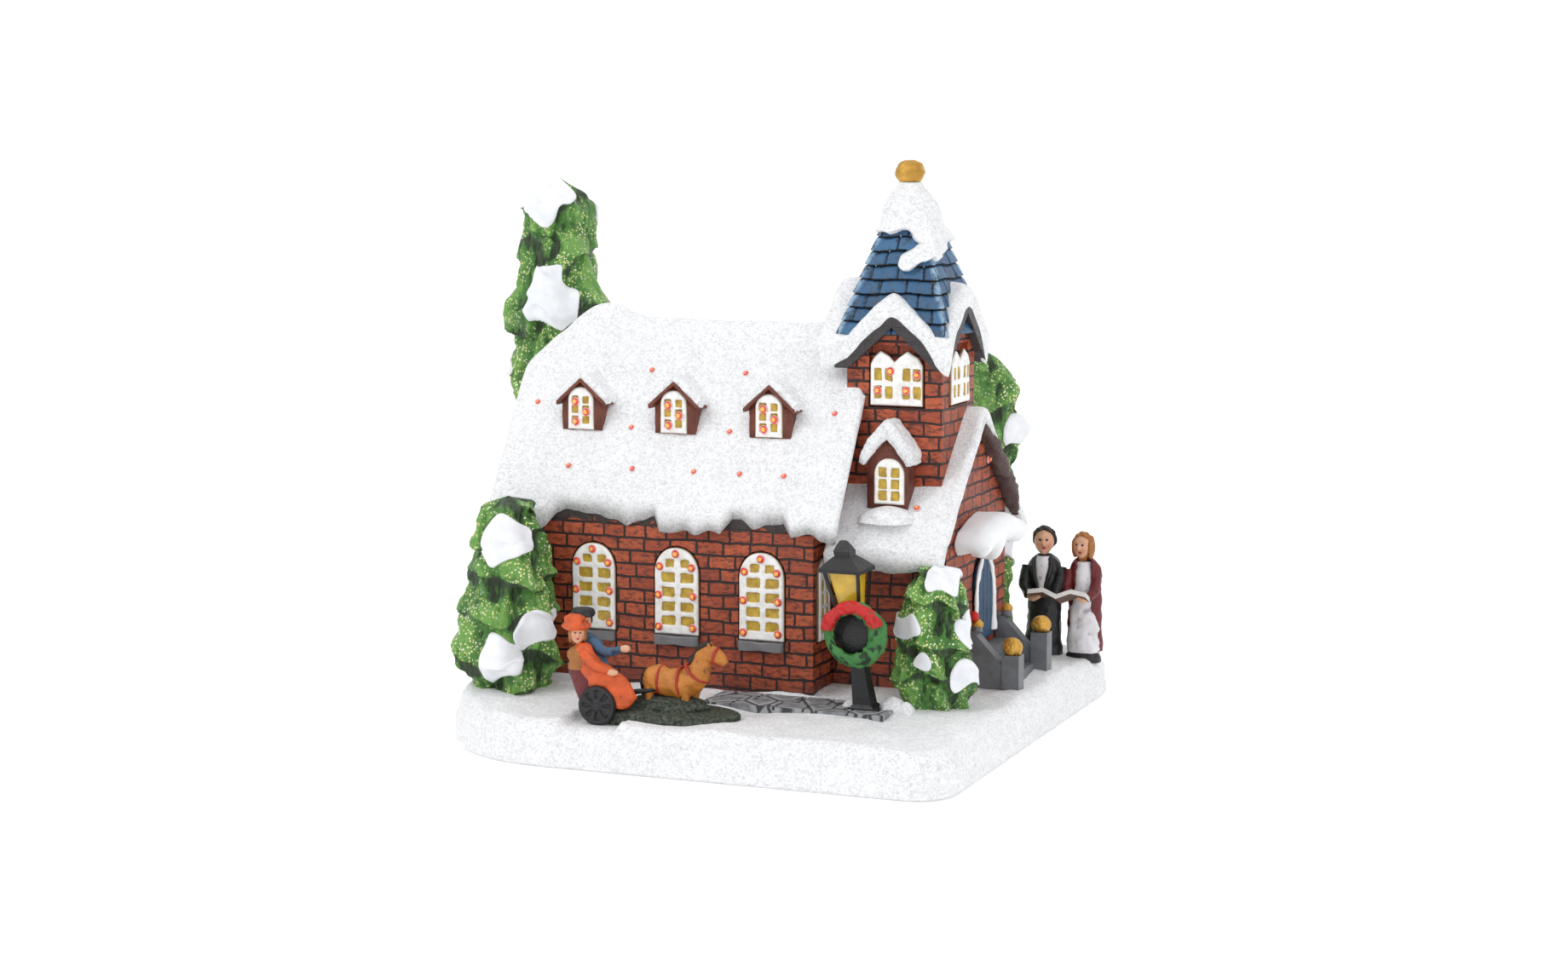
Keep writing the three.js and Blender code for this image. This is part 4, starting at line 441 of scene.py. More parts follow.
def tree_recipe(r):
    """Green needles: painted shade in hollows, painted light and gold flakes on boughs, plain snow where it lies."""
    place = r.place()
    relief = r.fact("relief")
    streak = r.noise(place, 1.1, 4.0, 0.65, (1.7, 1.7, 0.5))
    high = r.plus(relief, r.times(r.less(streak, 0.5), 1.3))
    # painted shade where the relief is low
    leaf = r.blend(r.span(high, -0.05, 0.42), (0.02, 0.036, 0.014), (0.062, 0.2, 0.03))
    # painted light where the relief is high
    leaf = r.blend(r.span(high, 0.5, 1.0), leaf, (0.16, 0.36, 0.07))
    flake = use(r, GLITTER, Share=0.6, Thin=0.3)
    lit = r.times(flake["Mask"], r.span(relief, 0.2, 0.5))
    gold = r.blend(r.span(flake["Number"], 0.6, 1.0), (0.9, 0.85, 0.3), (0.95, 0.97, 0.8))
    leaf = r.blend(lit, leaf, gold)
    lying = r.span(r.fact("snow"), 0.35, 0.6)
    white = r.blend(r.span(r.noise(place, 4.0), 0.3, 0.7), (0.8, 0.82, 0.86), (0.93, 0.94, 0.96))
    height = r.times(streak, r.less(1.0, r.times(lying, 0.9)))
    rough = r.plus(r.times(lying, 0.2), 0.42)
    return {"Base Color": r.blend(lying, leaf, white), "Normal": r.bump(height, 0.5), "Roughness": rough}


def brick_recipe(tower=False, eave=False):
    """Running bond: rows on the height, bricks on the length of the wall that the face runs along."""
    def build(r):
        place = r.place()
        x, y, z = r.axes(place)
        facing = r.axes(r.node("ShaderNodeNewGeometry").outputs["Normal"])[0]
        end_on = r.math("GREATER_THAN", r.math("ABSOLUTE", facing), 0.7)
        length = r.plus(r.times(end_on, y), r.times(r.less(1.0, end_on), x))
        waver = r.times(r.less(r.noise(place, 6.0, 2.0), 0.5), 0.0011)
        jitter = r.times(r.less(r.noise(place, 2.2, 2.0), 0.5), 0.0006)
        joined = r.node("ShaderNodeCombineXYZ")
        r.feed(joined.inputs[0], r.plus(length, jitter))
        r.feed(joined.inputs[1], r.plus(z, waver))
        bond = r.node("ShaderNodeTexBrick", offset=0.45, squash=0.8, squash_frequency=3)
        r.feed(bond.inputs["Vector"], joined.outputs[0])
        for key, value in {"Scale": 1000.0, "Mortar Size": 0.3, "Mortar Smooth": 0.3, "Brick Width": 6.5,
                           "Row Height": 3.0}.items():
            bond.inputs[key].default_value = value
        bond.inputs["Color1"].default_value = (0.0, 0.0, 0.0, 1)
        bond.inputs["Color2"].default_value = (1.0, 1.0, 1.0, 1)
        tint = bond.outputs["Color"]
        rough = r.noise(place, 1.1, 4.0, 0.65, (0.6, 0.6, 1.3))
        face = r.blend(tint, (0.35, 0.06, 0.021), (0.51, 0.105, 0.036))
        face = r.blend(r.span(rough, 0.58, 0.3), face, (0.1, 0.02, 0.014))
        face = r.blend(r.span(rough, 0.62, 0.8), face, (0.58, 0.155, 0.062))
        worn = r.span(r.noise(place, 9.0, 3.0), 0.6, 0.75)
        face = r.blend(r.times(worn, 0.55), face, (0.1, 0.025, 0.018))
        low = r.span(z, 0.0175, 0.0105)
        face = r.blend(r.times(low, 0.5), face, (0.05, 0.014, 0.012))
        wall = r.blend(bond.outputs["Fac"], face, (0.022, 0.009, 0.009))
        if eave:  # dark strip under the front eave
            # painted shadow of the front eave on the top of the wall
            eave_shadow_line = r.plus(z, r.times(r.noise(place, 3.5, 3.0), 0.006))
            front = r.math("LESS_THAN", y, (SHIFT[1] - 20) / 1000)
            wall = r.blend(r.times(front, r.span(eave_shadow_line, 0.0511, 0.0516)), wall,
                           r.blend(rough, (0.012, 0.009, 0.009), (0.06, 0.045, 0.04)))
        if tower:  # dark posts at the corners
            ax = r.math("ABSOLUTE", r.less(x, (TOWER_X + SHIFT[0]) / 1000))
            ay = r.math("ABSOLUTE", r.less(y, (TOWER_Y + SHIFT[1]) / 1000))
            board = r.math("GREATER_THAN", r.math("MAXIMUM", ax, ay), 0.01135)
            wall = r.blend(board, wall, r.blend(rough, (0.012, 0.01, 0.011), (0.07, 0.06, 0.062)))
        height = r.plus(r.less(1.0, bond.outputs["Fac"]), r.times(rough, 0.7))
        return {"Base Color": wall, "Normal": r.bump(height, 0.55), "Roughness": r.span(rough, 0.2, 0.8, 0.38, 0.6)}
    return build


SNOW = material("glitter_snow", snow_recipe(0.22))
SMOOTH_SNOW = material("smooth_snow", snow_recipe(0.0, (0.93, 0.94, 0.96)))
BRICK = material("brick_paint", brick_recipe())
NAVE_BRICK = material("nave_brick_paint", brick_recipe(eave=True))
TOWER_BRICK = material("tower_brick_paint", brick_recipe(tower=True))
NEEDLES = material("tree_paint", tree_recipe)


def window_recipe(r):
    """White frame with warm painted shade in the hollows, and ochre panes where the piece says pane."""
    place = r.place()
    pane = r.span(r.fact("pane"), 0.35, 0.65)
    uneven = r.noise(place, 1.4, 3.0)
    white = r.blend(r.span(uneven, 0.3, 0.6), (0.8, 0.78, 0.74), (0.93, 0.93, 0.92))
    white = r.blend(r.span(r.fact("relief"), 0.5, 0.1), white, (0.3, 0.2, 0.12))
    ochre = r.blend(r.span(uneven, 0.3, 0.7), (0.4, 0.25, 0.03), (0.62, 0.42, 0.06))
    return {"Base Color": r.blend(pane, white, ochre), "Normal": r.bump(uneven, 0.12),
            "Roughness": r.span(pane, 0.0, 1.0, 0.5, 0.3)}


def bead_recipe(r):
    """Cut end of a light fibre: orange in the middle, red round it."""
    middle = r.fact("middle")
    heart = r.span(r.plus(middle, r.times(r.noise(r.place(), 0.7), 1.4)), 1.15, 1.5)
    glow = r.blend(heart, (0.75, 0.03, 0.025), (1.0, 0.5, 0.06))
    glow = r.blend(r.span(middle, -0.35, -0.8), glow, (0.72, 0.5, 0.47))
    return {"Base Color": glow, "Emission Color": glow}


def shingle_recipe(r):
    """Blue shingles, each a little different: black joints, painted shade under each lip, paler along the hips."""
    place = r.place()
    stain = r.noise(place, 1.6, 4.0, 0.6)
    blue = r.blend(r.fact("tint"), (0.012, 0.068, 0.16), (0.03, 0.135, 0.28))
    blue = r.blend(r.span(stain, 0.54, 0.28), blue, (0.018, 0.032, 0.055))
    blue = r.blend(r.times(r.fact("hip"), r.span(stain, 0.3, 0.6)), blue, (0.28, 0.42, 0.56))
    # dark joints between the shingles, and painted shade under each course's lip
    dark = r.span(r.fact("relief"), 0.66, 0.25)
    return {"Base Color": r.blend(dark, blue, (0.012, 0.013, 0.016)), "Normal": r.bump(stain, 0.2),
            "Roughness": r.span(stain, 0.2, 0.8, 0.35, 0.55)}


def turf_recipe(r):
    """Flocked turf: dark grey-green with pale tips."""
    place = r.place()
    blades = r.noise(place, 0.8, 4.0, 0.7)
    green = r.blend(r.span(blades, 0.35, 0.7), (0.02, 0.028, 0.02), (0.13, 0.15, 0.11))
    return {"Base Color": green, "Normal": r.bump(blades, 0.8), "Roughness": r.span(blades, 0.2, 0.8, 0.95, 0.8)}


def flag_recipe(r):
    """Grey flagstones: cells with pale outlines and dark joints."""
    place = r.place()
    stretched = r.node("ShaderNodeMapping")
    r.feed(stretched.inputs["Vector"], place)
    stretched.inputs["Scale"].default_value = (0.9, 0.7, 0.3)
    cells = r.node("ShaderNodeTexVoronoi", feature="DISTANCE_TO_EDGE")
    r.feed(cells.inputs["Vector"], stretched.outputs[0])
    cells.inputs["Scale"].default_value = 1000 / 6.5
    edge = cells.outputs["Distance"]
    stain = r.noise(place, 1.5, 4.0)
    grey = r.blend(r.span(stain, 0.3, 0.7), (0.17, 0.18, 0.19), (0.3, 0.31, 0.32))
    grey = r.blend(r.times(r.span(edge, 0.16, 0.09), 0.6), grey, (0.48, 0.49, 0.5))
    grey = r.blend(r.span(edge, 0.05, 0.02), grey, (0.06, 0.06, 0.065))
    height = r.plus(r.span(edge, 0.0, 0.12), r.times(stain, 0.3))
    return {"Base Color": grey, "Normal": r.bump(height, 0.4), "Roughness": r.span(stain, 0.3, 0.7, 0.45, 0.7)}


WINDOW = material("window_paint", window_recipe, Specular_IOR_Level=0.4)
BEAD = material("fibre_end", bead_recipe, Roughness=0.12, Coat_Weight=0.8, Emission_Strength=0.06)
SHINGLES = material("shingle_paint", shingle_recipe)
TURF = material("turf_flock", turf_recipe)
FLAGS = material("flagstone_paint", flag_recipe)
# Second colours below are painted shade where the relief is low and painted highlights where it is high
STONE = painted("step_paint", (0.17, 0.18, 0.195), 0.4, 0.55, 0.6, 0.2, light=(0.4, 0.41, 0.43))
SILL = painted("sill_paint", (0.2, 0.2, 0.21), 0.5, painted_shade=(0.04, 0.035, 0.03))
GOLD = painted("gold_paint", (0.74, 0.42, 0.08), 0.3, 0.75, 1.0, 0.4, Metallic=0.7)
DORMER = painted("dormer_paint", (0.2, 0.055, 0.03), 0.5, 0.8, 0.6, 0.35)
PORCH_DORMER = painted("porch_dormer_paint", (0.17, 0.045, 0.028), 0.48, 0.8, 0.7, 0.35)
# Painted shadow under the door canopy, with painted highlights on its raised parts
CANOPY_SHADOW = painted("canopy_shadow_paint", (0.045, 0.032, 0.03), 0.45, 0.6, 0.6, 0.35, light=(0.22, 0.18, 0.17))
BARGE = painted("barge_paint", (0.1, 0.062, 0.058), 0.42, 0.7, 0.7, 0.35)
BLACK = painted("black_paint", (0.012, 0.012, 0.014), 0.35, 0.3, 0.6, 0.25)
HAIR = painted("dark_hair_paint", (0.02, 0.013, 0.01), 0.45, 0.4, 0.9, 0.3)
GINGER = painted("ginger_hair_paint", (0.42, 0.16, 0.035), 0.45, 0.6, 0.9, 0.3)
FLESH = painted("flesh_paint", (0.72, 0.4, 0.25), 0.45, 0.12, 0.1, 0.04)
WHITE = painted("white_paint", (0.82, 0.81, 0.84), 0.5, drift=0.3, painted_shade=(0.42, 0.38, 0.42))
MAROON = painted("maroon_paint", (0.16, 0.012, 0.016), 0.42, 0.6, 0.5, 0.25, painted_shade=(0.03, 0.006, 0.008))
ORANGE = painted("orange_paint", (0.72, 0.11, 0.018), 0.42, 0.6, 0.5, 0.25, painted_shade=(0.16, 0.02, 0.012))
BLUE = painted("blue_paint", (0.022, 0.075, 0.15), 0.45, 0.5, 0.5, 0.2, painted_shade=(0.006, 0.012, 0.02))
DENIM = painted("slate_coat_paint", (0.06, 0.13, 0.23), 0.5, 0.6, 0.5, 0.2, painted_shade=(0.015, 0.03, 0.05))
OCHRE = painted("horse_paint", (0.58, 0.21, 0.028), 0.45, 0.6, 0.6, 0.25, painted_shade=(0.12, 0.035, 0.012))
HARNESS = painted("harness_paint", (0.42, 0.03, 0.015), 0.4, drift=0.4)
PANES = painted("lantern_pane_paint", (0.85, 0.55, 0.03), 0.18, 0.5, 0.2, 0.1, Coat_Weight=0.6)
LEAVES = painted("wreath_paint", (0.05, 0.23, 0.05), 0.45, 0.6, 0.8, 0.3, painted_shade=(0.008, 0.03, 0.01))
BERRIES = painted("berry_paint", (0.6, 0.016, 0.016), 0.35, 0.5, 0.8, 0.3)
PLASTIC = painted("moulded_black_plastic", (0.03, 0.03, 0.032), 0.5, 0.1, 0.6, 0.05)
FOAM = painted("foam_pad", (0.05, 0.048, 0.046), 0.9, 0.2, 1.0, 0.2)
STEEL = painted("zinc_steel", (0.6, 0.61, 0.63), 0.3, 0.2, 0.2, 0.02, Metallic=1.0)
WRAP = painted("cell_wrap", (0.04, 0.14, 0.42), 0.3, 0.1, 0.1, 0.02, Coat_Weight=0.5)
BOARD = painted("board_mask", (0.8, 0.82, 0.78), 0.35, drift=0.1)
LENS = painted("lamp_lens", (0.9, 0.85, 0.65), 0.12, drift=0.05)
FIBRE = painted("fibre_plastic", (0.85, 0.2, 0.12), 0.15, drift=0.1)
WIRE = painted("wire_cover", (0.4, 0.02, 0.02), 0.4, drift=0.1)


def page_recipe(r):
    """White pages above, brown cover below."""
    upward = r.axes(r.node("ShaderNodeNewGeometry").outputs["Normal"])[2]
    page = r.blend(r.span(r.noise(r.place(), 2.0), 0.3, 0.7), (0.8, 0.78, 0.75), (0.92, 0.91, 0.9))
    return {"Base Color": r.blend(r.span(upward, 0.1, -0.2), page, (0.13, 0.07, 0.05))}


PAGES = material("book_paint", page_recipe, Roughness=0.5)

NODE_FINISH = {
    "snow_base": SNOW, "base_cover": PLASTIC, "cover_screw_1": STEEL, "cover_screw_2": STEEL,
    "battery_door": PLASTIC, "contact_strip_left": STEEL, "contact_strip_right": STEEL, "switch_body": STEEL,
    "switch_knob": PLASTIC, "lamp_board": BOARD, "led_lamp": LENS, "fibre_collar": PLASTIC, "fibre_bundle": FIBRE,
    "lamp_lead": WIRE, "nave_walls": NAVE_BRICK, "nave_roof_snow": SNOW, "side_window": WINDOW,
    "tower_walls": TOWER_BRICK, "tower_gable_snow": SNOW, "spire": SHINGLES, "spire_snow": SNOW, "finial": GOLD,
    "porch_walls": BRICK, "porch_roof_snow": SNOW, "porch_dormer": BRICK, "front_door": BLUE,
    "door_canopy": SMOOTH_SNOW, "door_steps": STONE, "flagstones": FLAGS, "grass_mound": TURF, "carriage": BLACK,
    "riders": ORANGE, "horse": OCHRE, "lamp_post": BLACK, "lamp_glass": PANES, "lamp_wreath": LEAVES,
    "singer_man": BLACK, "singer_woman": MAROON, "song_book": PAGES,
}
LIKE_FINISH = {"foot_pad": FOAM, "battery_cell": WRAP, "roof_dormer": DORMER, "nave_window": WINDOW,
               "back_window": WINDOW, "tower_window": WINDOW, "tree": NEEDLES}
for name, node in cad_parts.items():
    alike = [finish for start, finish in LIKE_FINISH.items() if name.startswith(start)]
    node.data.materials.clear()
    node.data.materials.append(alike[0] if alike else NODE_FINISH[name])


# Snow base

RIM = np.array([[60.0, -54, 9], [61, 59, 8], [-47, 43, 24], [-24.5, -30, 33]])
MIDDLE = np.array([-14.0, 2.0])
WELL = (-49.0, 21.0, -19.0, 23.0)


def rim_reach(angle):
    """Distance from the middle to the rim: the points where the four corner circles reach furthest, joined by
    straight edges and read by their bearing."""
    turn = bearings(2880)
    normal = np.stack([np.cos(turn), np.sin(turn)], 1)
    best = (RIM[:, :2] @ normal.T + RIM[:, 2:]).argmax(0)
    edge = RIM[best, :2] + normal * RIM[best, 2:]
    steps = np.linspace(0, 1, 12, endpoint=False)[:, None]
    edge = (edge[:, None] + steps * (np.roll(edge, -1, 0) - edge)[:, None]).reshape(-1, 2) - MIDDLE
    bearing = np.arctan2(edge[:, 1], edge[:, 0])
    order = np.argsort(bearing)
    return np.interp(angle, bearing[order], np.hypot(*edge[order].T), period=2 * np.pi)


def hill(x, y, height, at_x, at_y, spread):
    """Round drift: the height times the falling exponential of the squared distance."""
    return height * np.exp(-((x - at_x) ** 2 + (y - at_y) ** 2) / (2 * spread ** 2))


def box_depth(x, y, left, right, front, back):
    """How deep a point lies inside a rectangle, below zero outside."""
    return np.minimum(np.minimum(x - left, right - x), np.minimum(y - front, back - y))


def ground(x, y):
    """Height of the snow: a plain with ripples and drifts, banked up against the walls and kept under the path,
    the mound and the wheels."""
    spot = xyz(x, y, 0)
    z = 10.6 + 0.35 * np.sin(x * 0.21 + 1) * np.cos(y * 0.17)
    z = z + hill(x, y, 4.2, -52, -28, 9) + hill(x, y, 3, 36, -6, 11) + hill(x, y, 2.4, 52, 26, 9)
    z = z + hill(x, y, 2.5, -20, 34, 12) + 0.4 * lumps(spot, 8, 3) + 0.16 * lumps(spot, 2.6, 5)
    house = np.maximum(box_depth(x, y, -52, 24, -22, 26), box_depth(x, y, 20, 51, -10, 33))
    z = z + 0.9 * np.exp(-np.clip(-house, 0, None) / 1.8)
    path = box_depth(x, y, 3, 46, -36, -22.6) + 0.5 * lumps(spot, 3, 8)
    z = np.minimum(z, 12.4 - 1.6 * ease(path, -0.6, 0.9))
    mound = 1 - np.hypot((x + 1.2) / 18.4, (y + 47) / 9.0)
    z = np.where(mound > -0.2, np.minimum(z, 11.6 - 1.2 * ease(mound, -0.12, 0.06)), z)
    wheel = box_depth(x, y, -19, -7, -59, -44)
    return np.minimum(z, 12.5 - 3.6 * ease(wheel, -2.6, 0.4))


def snow_base():
    """Ring of snow round the well of the house: each bearing has a loop from the well over the ground, round the
    side, under the rim and back below."""
    seat, under, flank = 7.9, 5.8, 4.5
    angle = np.linspace(-np.pi, np.pi, 560, endpoint=False)
    way = np.stack([np.cos(angle), np.sin(angle)], 1)
    reach = rim_reach(angle)
    sides = np.stack([(WELL[1] - MIDDLE[0]) / np.where(way[:, 0] > 0, way[:, 0], np.nan),
                      (WELL[0] - MIDDLE[0]) / np.where(way[:, 0] < 0, way[:, 0], np.nan),
                      (WELL[3] - MIDDLE[1]) / np.where(way[:, 1] > 0, way[:, 1], np.nan),
                      (WELL[2] - MIDDLE[1]) / np.where(way[:, 1] < 0, way[:, 1], np.nan)])
    inner = np.nanmin(sides, axis=0)

    def at(distance, z):
        spot = MIDDLE + way * distance[:, None]
        return np.stack([spot[:, 0], spot[:, 1], z if np.ndim(z) else np.full(len(angle), z)], 1)

    def top(distance):
        spot = at(distance, 0.0)
        return ground(spot[:, 0], spot[:, 1])

    loop = [at(inner, under), at(inner, seat), at(inner + 2.8, seat)]
    for share in np.linspace(0, 1, 96):
        distance = inner + 3.0 + (reach - flank - inner - 3.0) * share
        loop.append(at(distance, top(distance)))
    shoulder = top(reach - flank)
    for turn in np.linspace(0.08, 1, 14) * np.pi / 2:
        dent = 0.35 * (1 + lumps(at(reach, 12 * turn), 6, 2)) * np.sin(turn)
        distance = reach - flank + 4.4 * np.sin(turn) - dent
        loop.append(at(distance, 4.0 + (shoulder - 4.0) * np.cos(turn)))
    for drop in (3.0, 2.0, 1.1):
        loop.append(at(reach - 0.1 - 0.25 * (1 + lumps(at(reach, drop), 5, 4)), drop))
    loop += [at(reach - 0.9, 0.25), at(reach - 4.0, 0.25), at(reach - 4.0, 3.6), at(reach - 5.0, 3.6),
             at(reach - 5.0, under)]
    skin("base_snow", np.stack(loop), SNOW, along=True, node="snow_base")


# Snow on the roofs

def gable_snow(name, node, left, right, ridge_y, ridge, slope, half, depth, lip, seed, crest=None, hip=None,
               eave=None):
    """Blanket over a gable: a loop round each cross-section, front eave to ridge to back eave and back below, with
    ragged drips at the eaves and ends that thin out."""
    stations = np.linspace(left, right, 230)
    share = np.concatenate([np.linspace(-1, 0, 76), np.linspace(0, 1, 46)[1:]])
    x, s = np.meshgrid(stations, share, indexing="ij")
    reach_out = np.where(s < 0, eave(x), half) if eave else half + 0 * x
    y = ridge_y + s * reach_out
    spot = xyz(x, y, seed)
    roof = ridge - slope * np.sqrt((y - ridge_y) ** 2 + 0.4)
    if hip:
        fall = hip[0] + (x - left) * hip[1]
        roof = -np.log(np.exp(-roof * 0.9) + np.exp(-fall * 0.9)) / 0.9
    if crest:
        roof = roof + crest(x, s)
    roof = roof + 0.35 * lumps(spot, 7, seed) + 0.22 * lumps(spot, 2.8, seed + 1) - 0.25
    long = spot * np.array([1, 0.2, 1])
    hang = lip + 1.2 * lumps(long, 5.2, seed + 2) + 0.5 * lumps(long, 2.4, seed + 3)
    edge = ease(np.abs(s), 0.93, 1.0)
    roof = roof - edge * 0.6
    thick = depth * (1 - edge * 0.2)
    end = np.minimum(x - left, right - x) + 0.5 * lumps(spot, 3, seed + 6)
    round_off = np.sqrt(1 - (1 - np.clip(end / 1.8, 0.02, 1)) ** 2)
    top = xyz(x, y, roof - thick / 2 + thick / 2 * round_off)
    sag = np.where(np.abs(s) > 0.9, np.clip(hang, 0.2, None) * ease(np.abs(s), 0.9, 0.985), 0)
    low = xyz(x, ridge_y + s * reach_out * 0.985, roof - thick / 2 - thick / 2 * round_off - sag)
    skin(name, np.concatenate([top, low[:, ::-1]], axis=1), SNOW, ladder=True, node=node)


def nave_crest(x, s):
    """Humps on the ridge: one at the hip's top and a drift against the tower."""
    hump = 3.2 * np.exp(-((x + 37) / 7) ** 2) + 3.6 * np.exp(-((x - 27) / 6.5) ** 2) + 1.6
    return hump * np.exp(-(s / 0.14) ** 2)


def nave_eave(x):
    """Reach of the front eave: drawn back over two stretches, with ragged drips all along."""
    line = np.interp(x, [-56, -41, -39, -14.5, -12.5, 2.5, 4.8, 17, 19.5, 32],
                     [26.4, 26.4, 24.7, 24.5, 26.4, 26.6, 24.5, 24.3, 26.5, 26.6])
    return line + 0.55 * lumps(xyz(x, 0, 0), 3.4, 61)


snow_base()
gable_snow("nave_snow", "nave_roof_snow", -55.8, 30.4, RIDGE_Y, RIDGE, PITCH, 26.9, 4.0, 0.9, 11, nave_crest,
           (82.4, 0.757), nave_eave)
gable_snow("porch_snow", "porch_roof_snow", 25.6, 53.5, 11.5, 75.4, 0.95, 31.4, 3.6, 1.2, 31)


def tower_snow():
    """Blanket over the crossed gables: its top is the higher of the two roofs, its sheet is thinner at the rim."""
    half = 14.1
    side = np.linspace(-1, 1, 150)
    u, v = np.meshgrid(side, side, indexing="ij")
    rim = np.maximum(np.abs(u), np.abs(v))
    x, y = TOWER_X + (u - 0.24 * ease(-u, 0.5, 1.0)) * half, TOWER_Y + v * half
    spot = xyz(x, y, 0)
    east = 104.4 - 0.9 * np.sqrt((y - TOWER_Y) ** 2 + 1.5)
    front = 101.6 - 0.9 * np.sqrt((x - TOWER_X) ** 2 + 1.5)
    top = np.maximum(east, front) + 0.5 * lumps(spot, 5, 21) + 0.3 * lumps(spot, 2.2, 22)
    roll = ease(rim, 0.82, 1.0)
    bend = 1 - np.sqrt(1 - np.clip((rim - 0.82) / 0.18, 0, 0.995) ** 2)
    valley = np.exp(-((1 - np.abs(u)) ** 2 + (1 - np.abs(v)) ** 2) / 0.06)
    depth = 6.3 + 3.0 * valley + 0.9 * lumps(spot, 4.2, 23) * roll
    upper = xyz(x, y, top - 2.3 * bend)
    pull = 1 - 0.035 * roll
    lower = xyz(TOWER_X + (x - TOWER_X) * pull, TOWER_Y + v * half * pull, top - depth + 1.7 * bend)
    skin("tower_snow", np.concatenate([upper, lower[:, ::-1]], axis=1), SNOW, ladder=True, node="tower_gable_snow")


def square_round(share):
    """Corners of a unit square walked once: share 0 to 4, one per side, starting at the front left corner."""
    side = np.floor(share) % 4
    part = 2 * (share - np.floor(share)) - 1
    return (np.select([side == 0, side == 1, side == 2], [part, 1.0, -part], -1.0),
            np.select([side == 0, side == 1, side == 2], [-1.0, part, 1.0], -part))


def spire():
    """Four-sided spire in courses: each course stands out at its lower edge, its shingles are parted by grooves and
    the hips are raised."""
    foot, course_high, shingle_wide = 91.5, 3.1, 6.2
    z, share = np.meshgrid(np.linspace(foot, 120.6, 190), np.linspace(0, 4, 321)[:-1], indexing="ij")
    x, y = square_round(share)
    half = SPIRE_HALF - SPIRE_TAPER * (z - SPIRE_FOOT)
    rise = (z - foot) / course_high + 0.05 * np.sin(share * 9) + 0.06 * lumps(xyz(x * 9, y * 9, z), 4, 2)
    course = np.floor(rise)
    up = rise - course
    part = share - np.floor(share)
    along = (part - 0.5) * 2 * half
    slot = along / shingle_wide + 0.5 * (course % 2) + 0.35 * chance(xyz(course, np.floor(share), 0), 4)
    shingle = np.floor(slot)
    gap = np.minimum(slot - shingle, 1 - slot + shingle) * shingle_wide
    number = chance(xyz(course, np.floor(share), shingle), 7)
    step = 0.75 * (1 - up) ** 0.8 * (0.75 + 0.5 * number)
    groove = ease(gap, 0.32, 0.06) * 0.45
    edge = 1 - np.abs(part - 0.5) * 2
    hip = ease(edge * half, 1.5, 0.5)
    out = np.where(hip > 0.5, 0.35 + 0.25 * (1 - up), step - groove) - 0.35
    under = ease(up, 0.76, 0.98)
    reach = half + out - 0.3 * under
    rows = xyz(TOWER_X + x * reach, TOWER_Y + y * reach, z)
    # Relief: low in the grooves between shingles, and painted shade under each course's lip and on its lower edge
    relief = unit(1 - groove * 2.4 - under * 1.1 - 0.5 * ease(up, 0.1, 0.0))
    skin("spire_shingles", rows, SHINGLES, facts={"relief": relief, "tint": number, "hip": hip}, node="spire")


tower_snow()
spire()


# Trees

def draw_in(points):
    """Points past the ends of the house, pressed back softly: the excess goes through a hyperbolic tangent."""
    points = np.array(points, float)
    x = points[..., 0]
    x = np.where(x < -68.6, -68.6 - 2.6 * np.tanh((-68.6 - x) / 2.6), x)
    points[..., 0] = np.where(x > 68.3, 68.3 + 0.65 * np.tanh((x - 68.3) / 0.65), x)
    return points


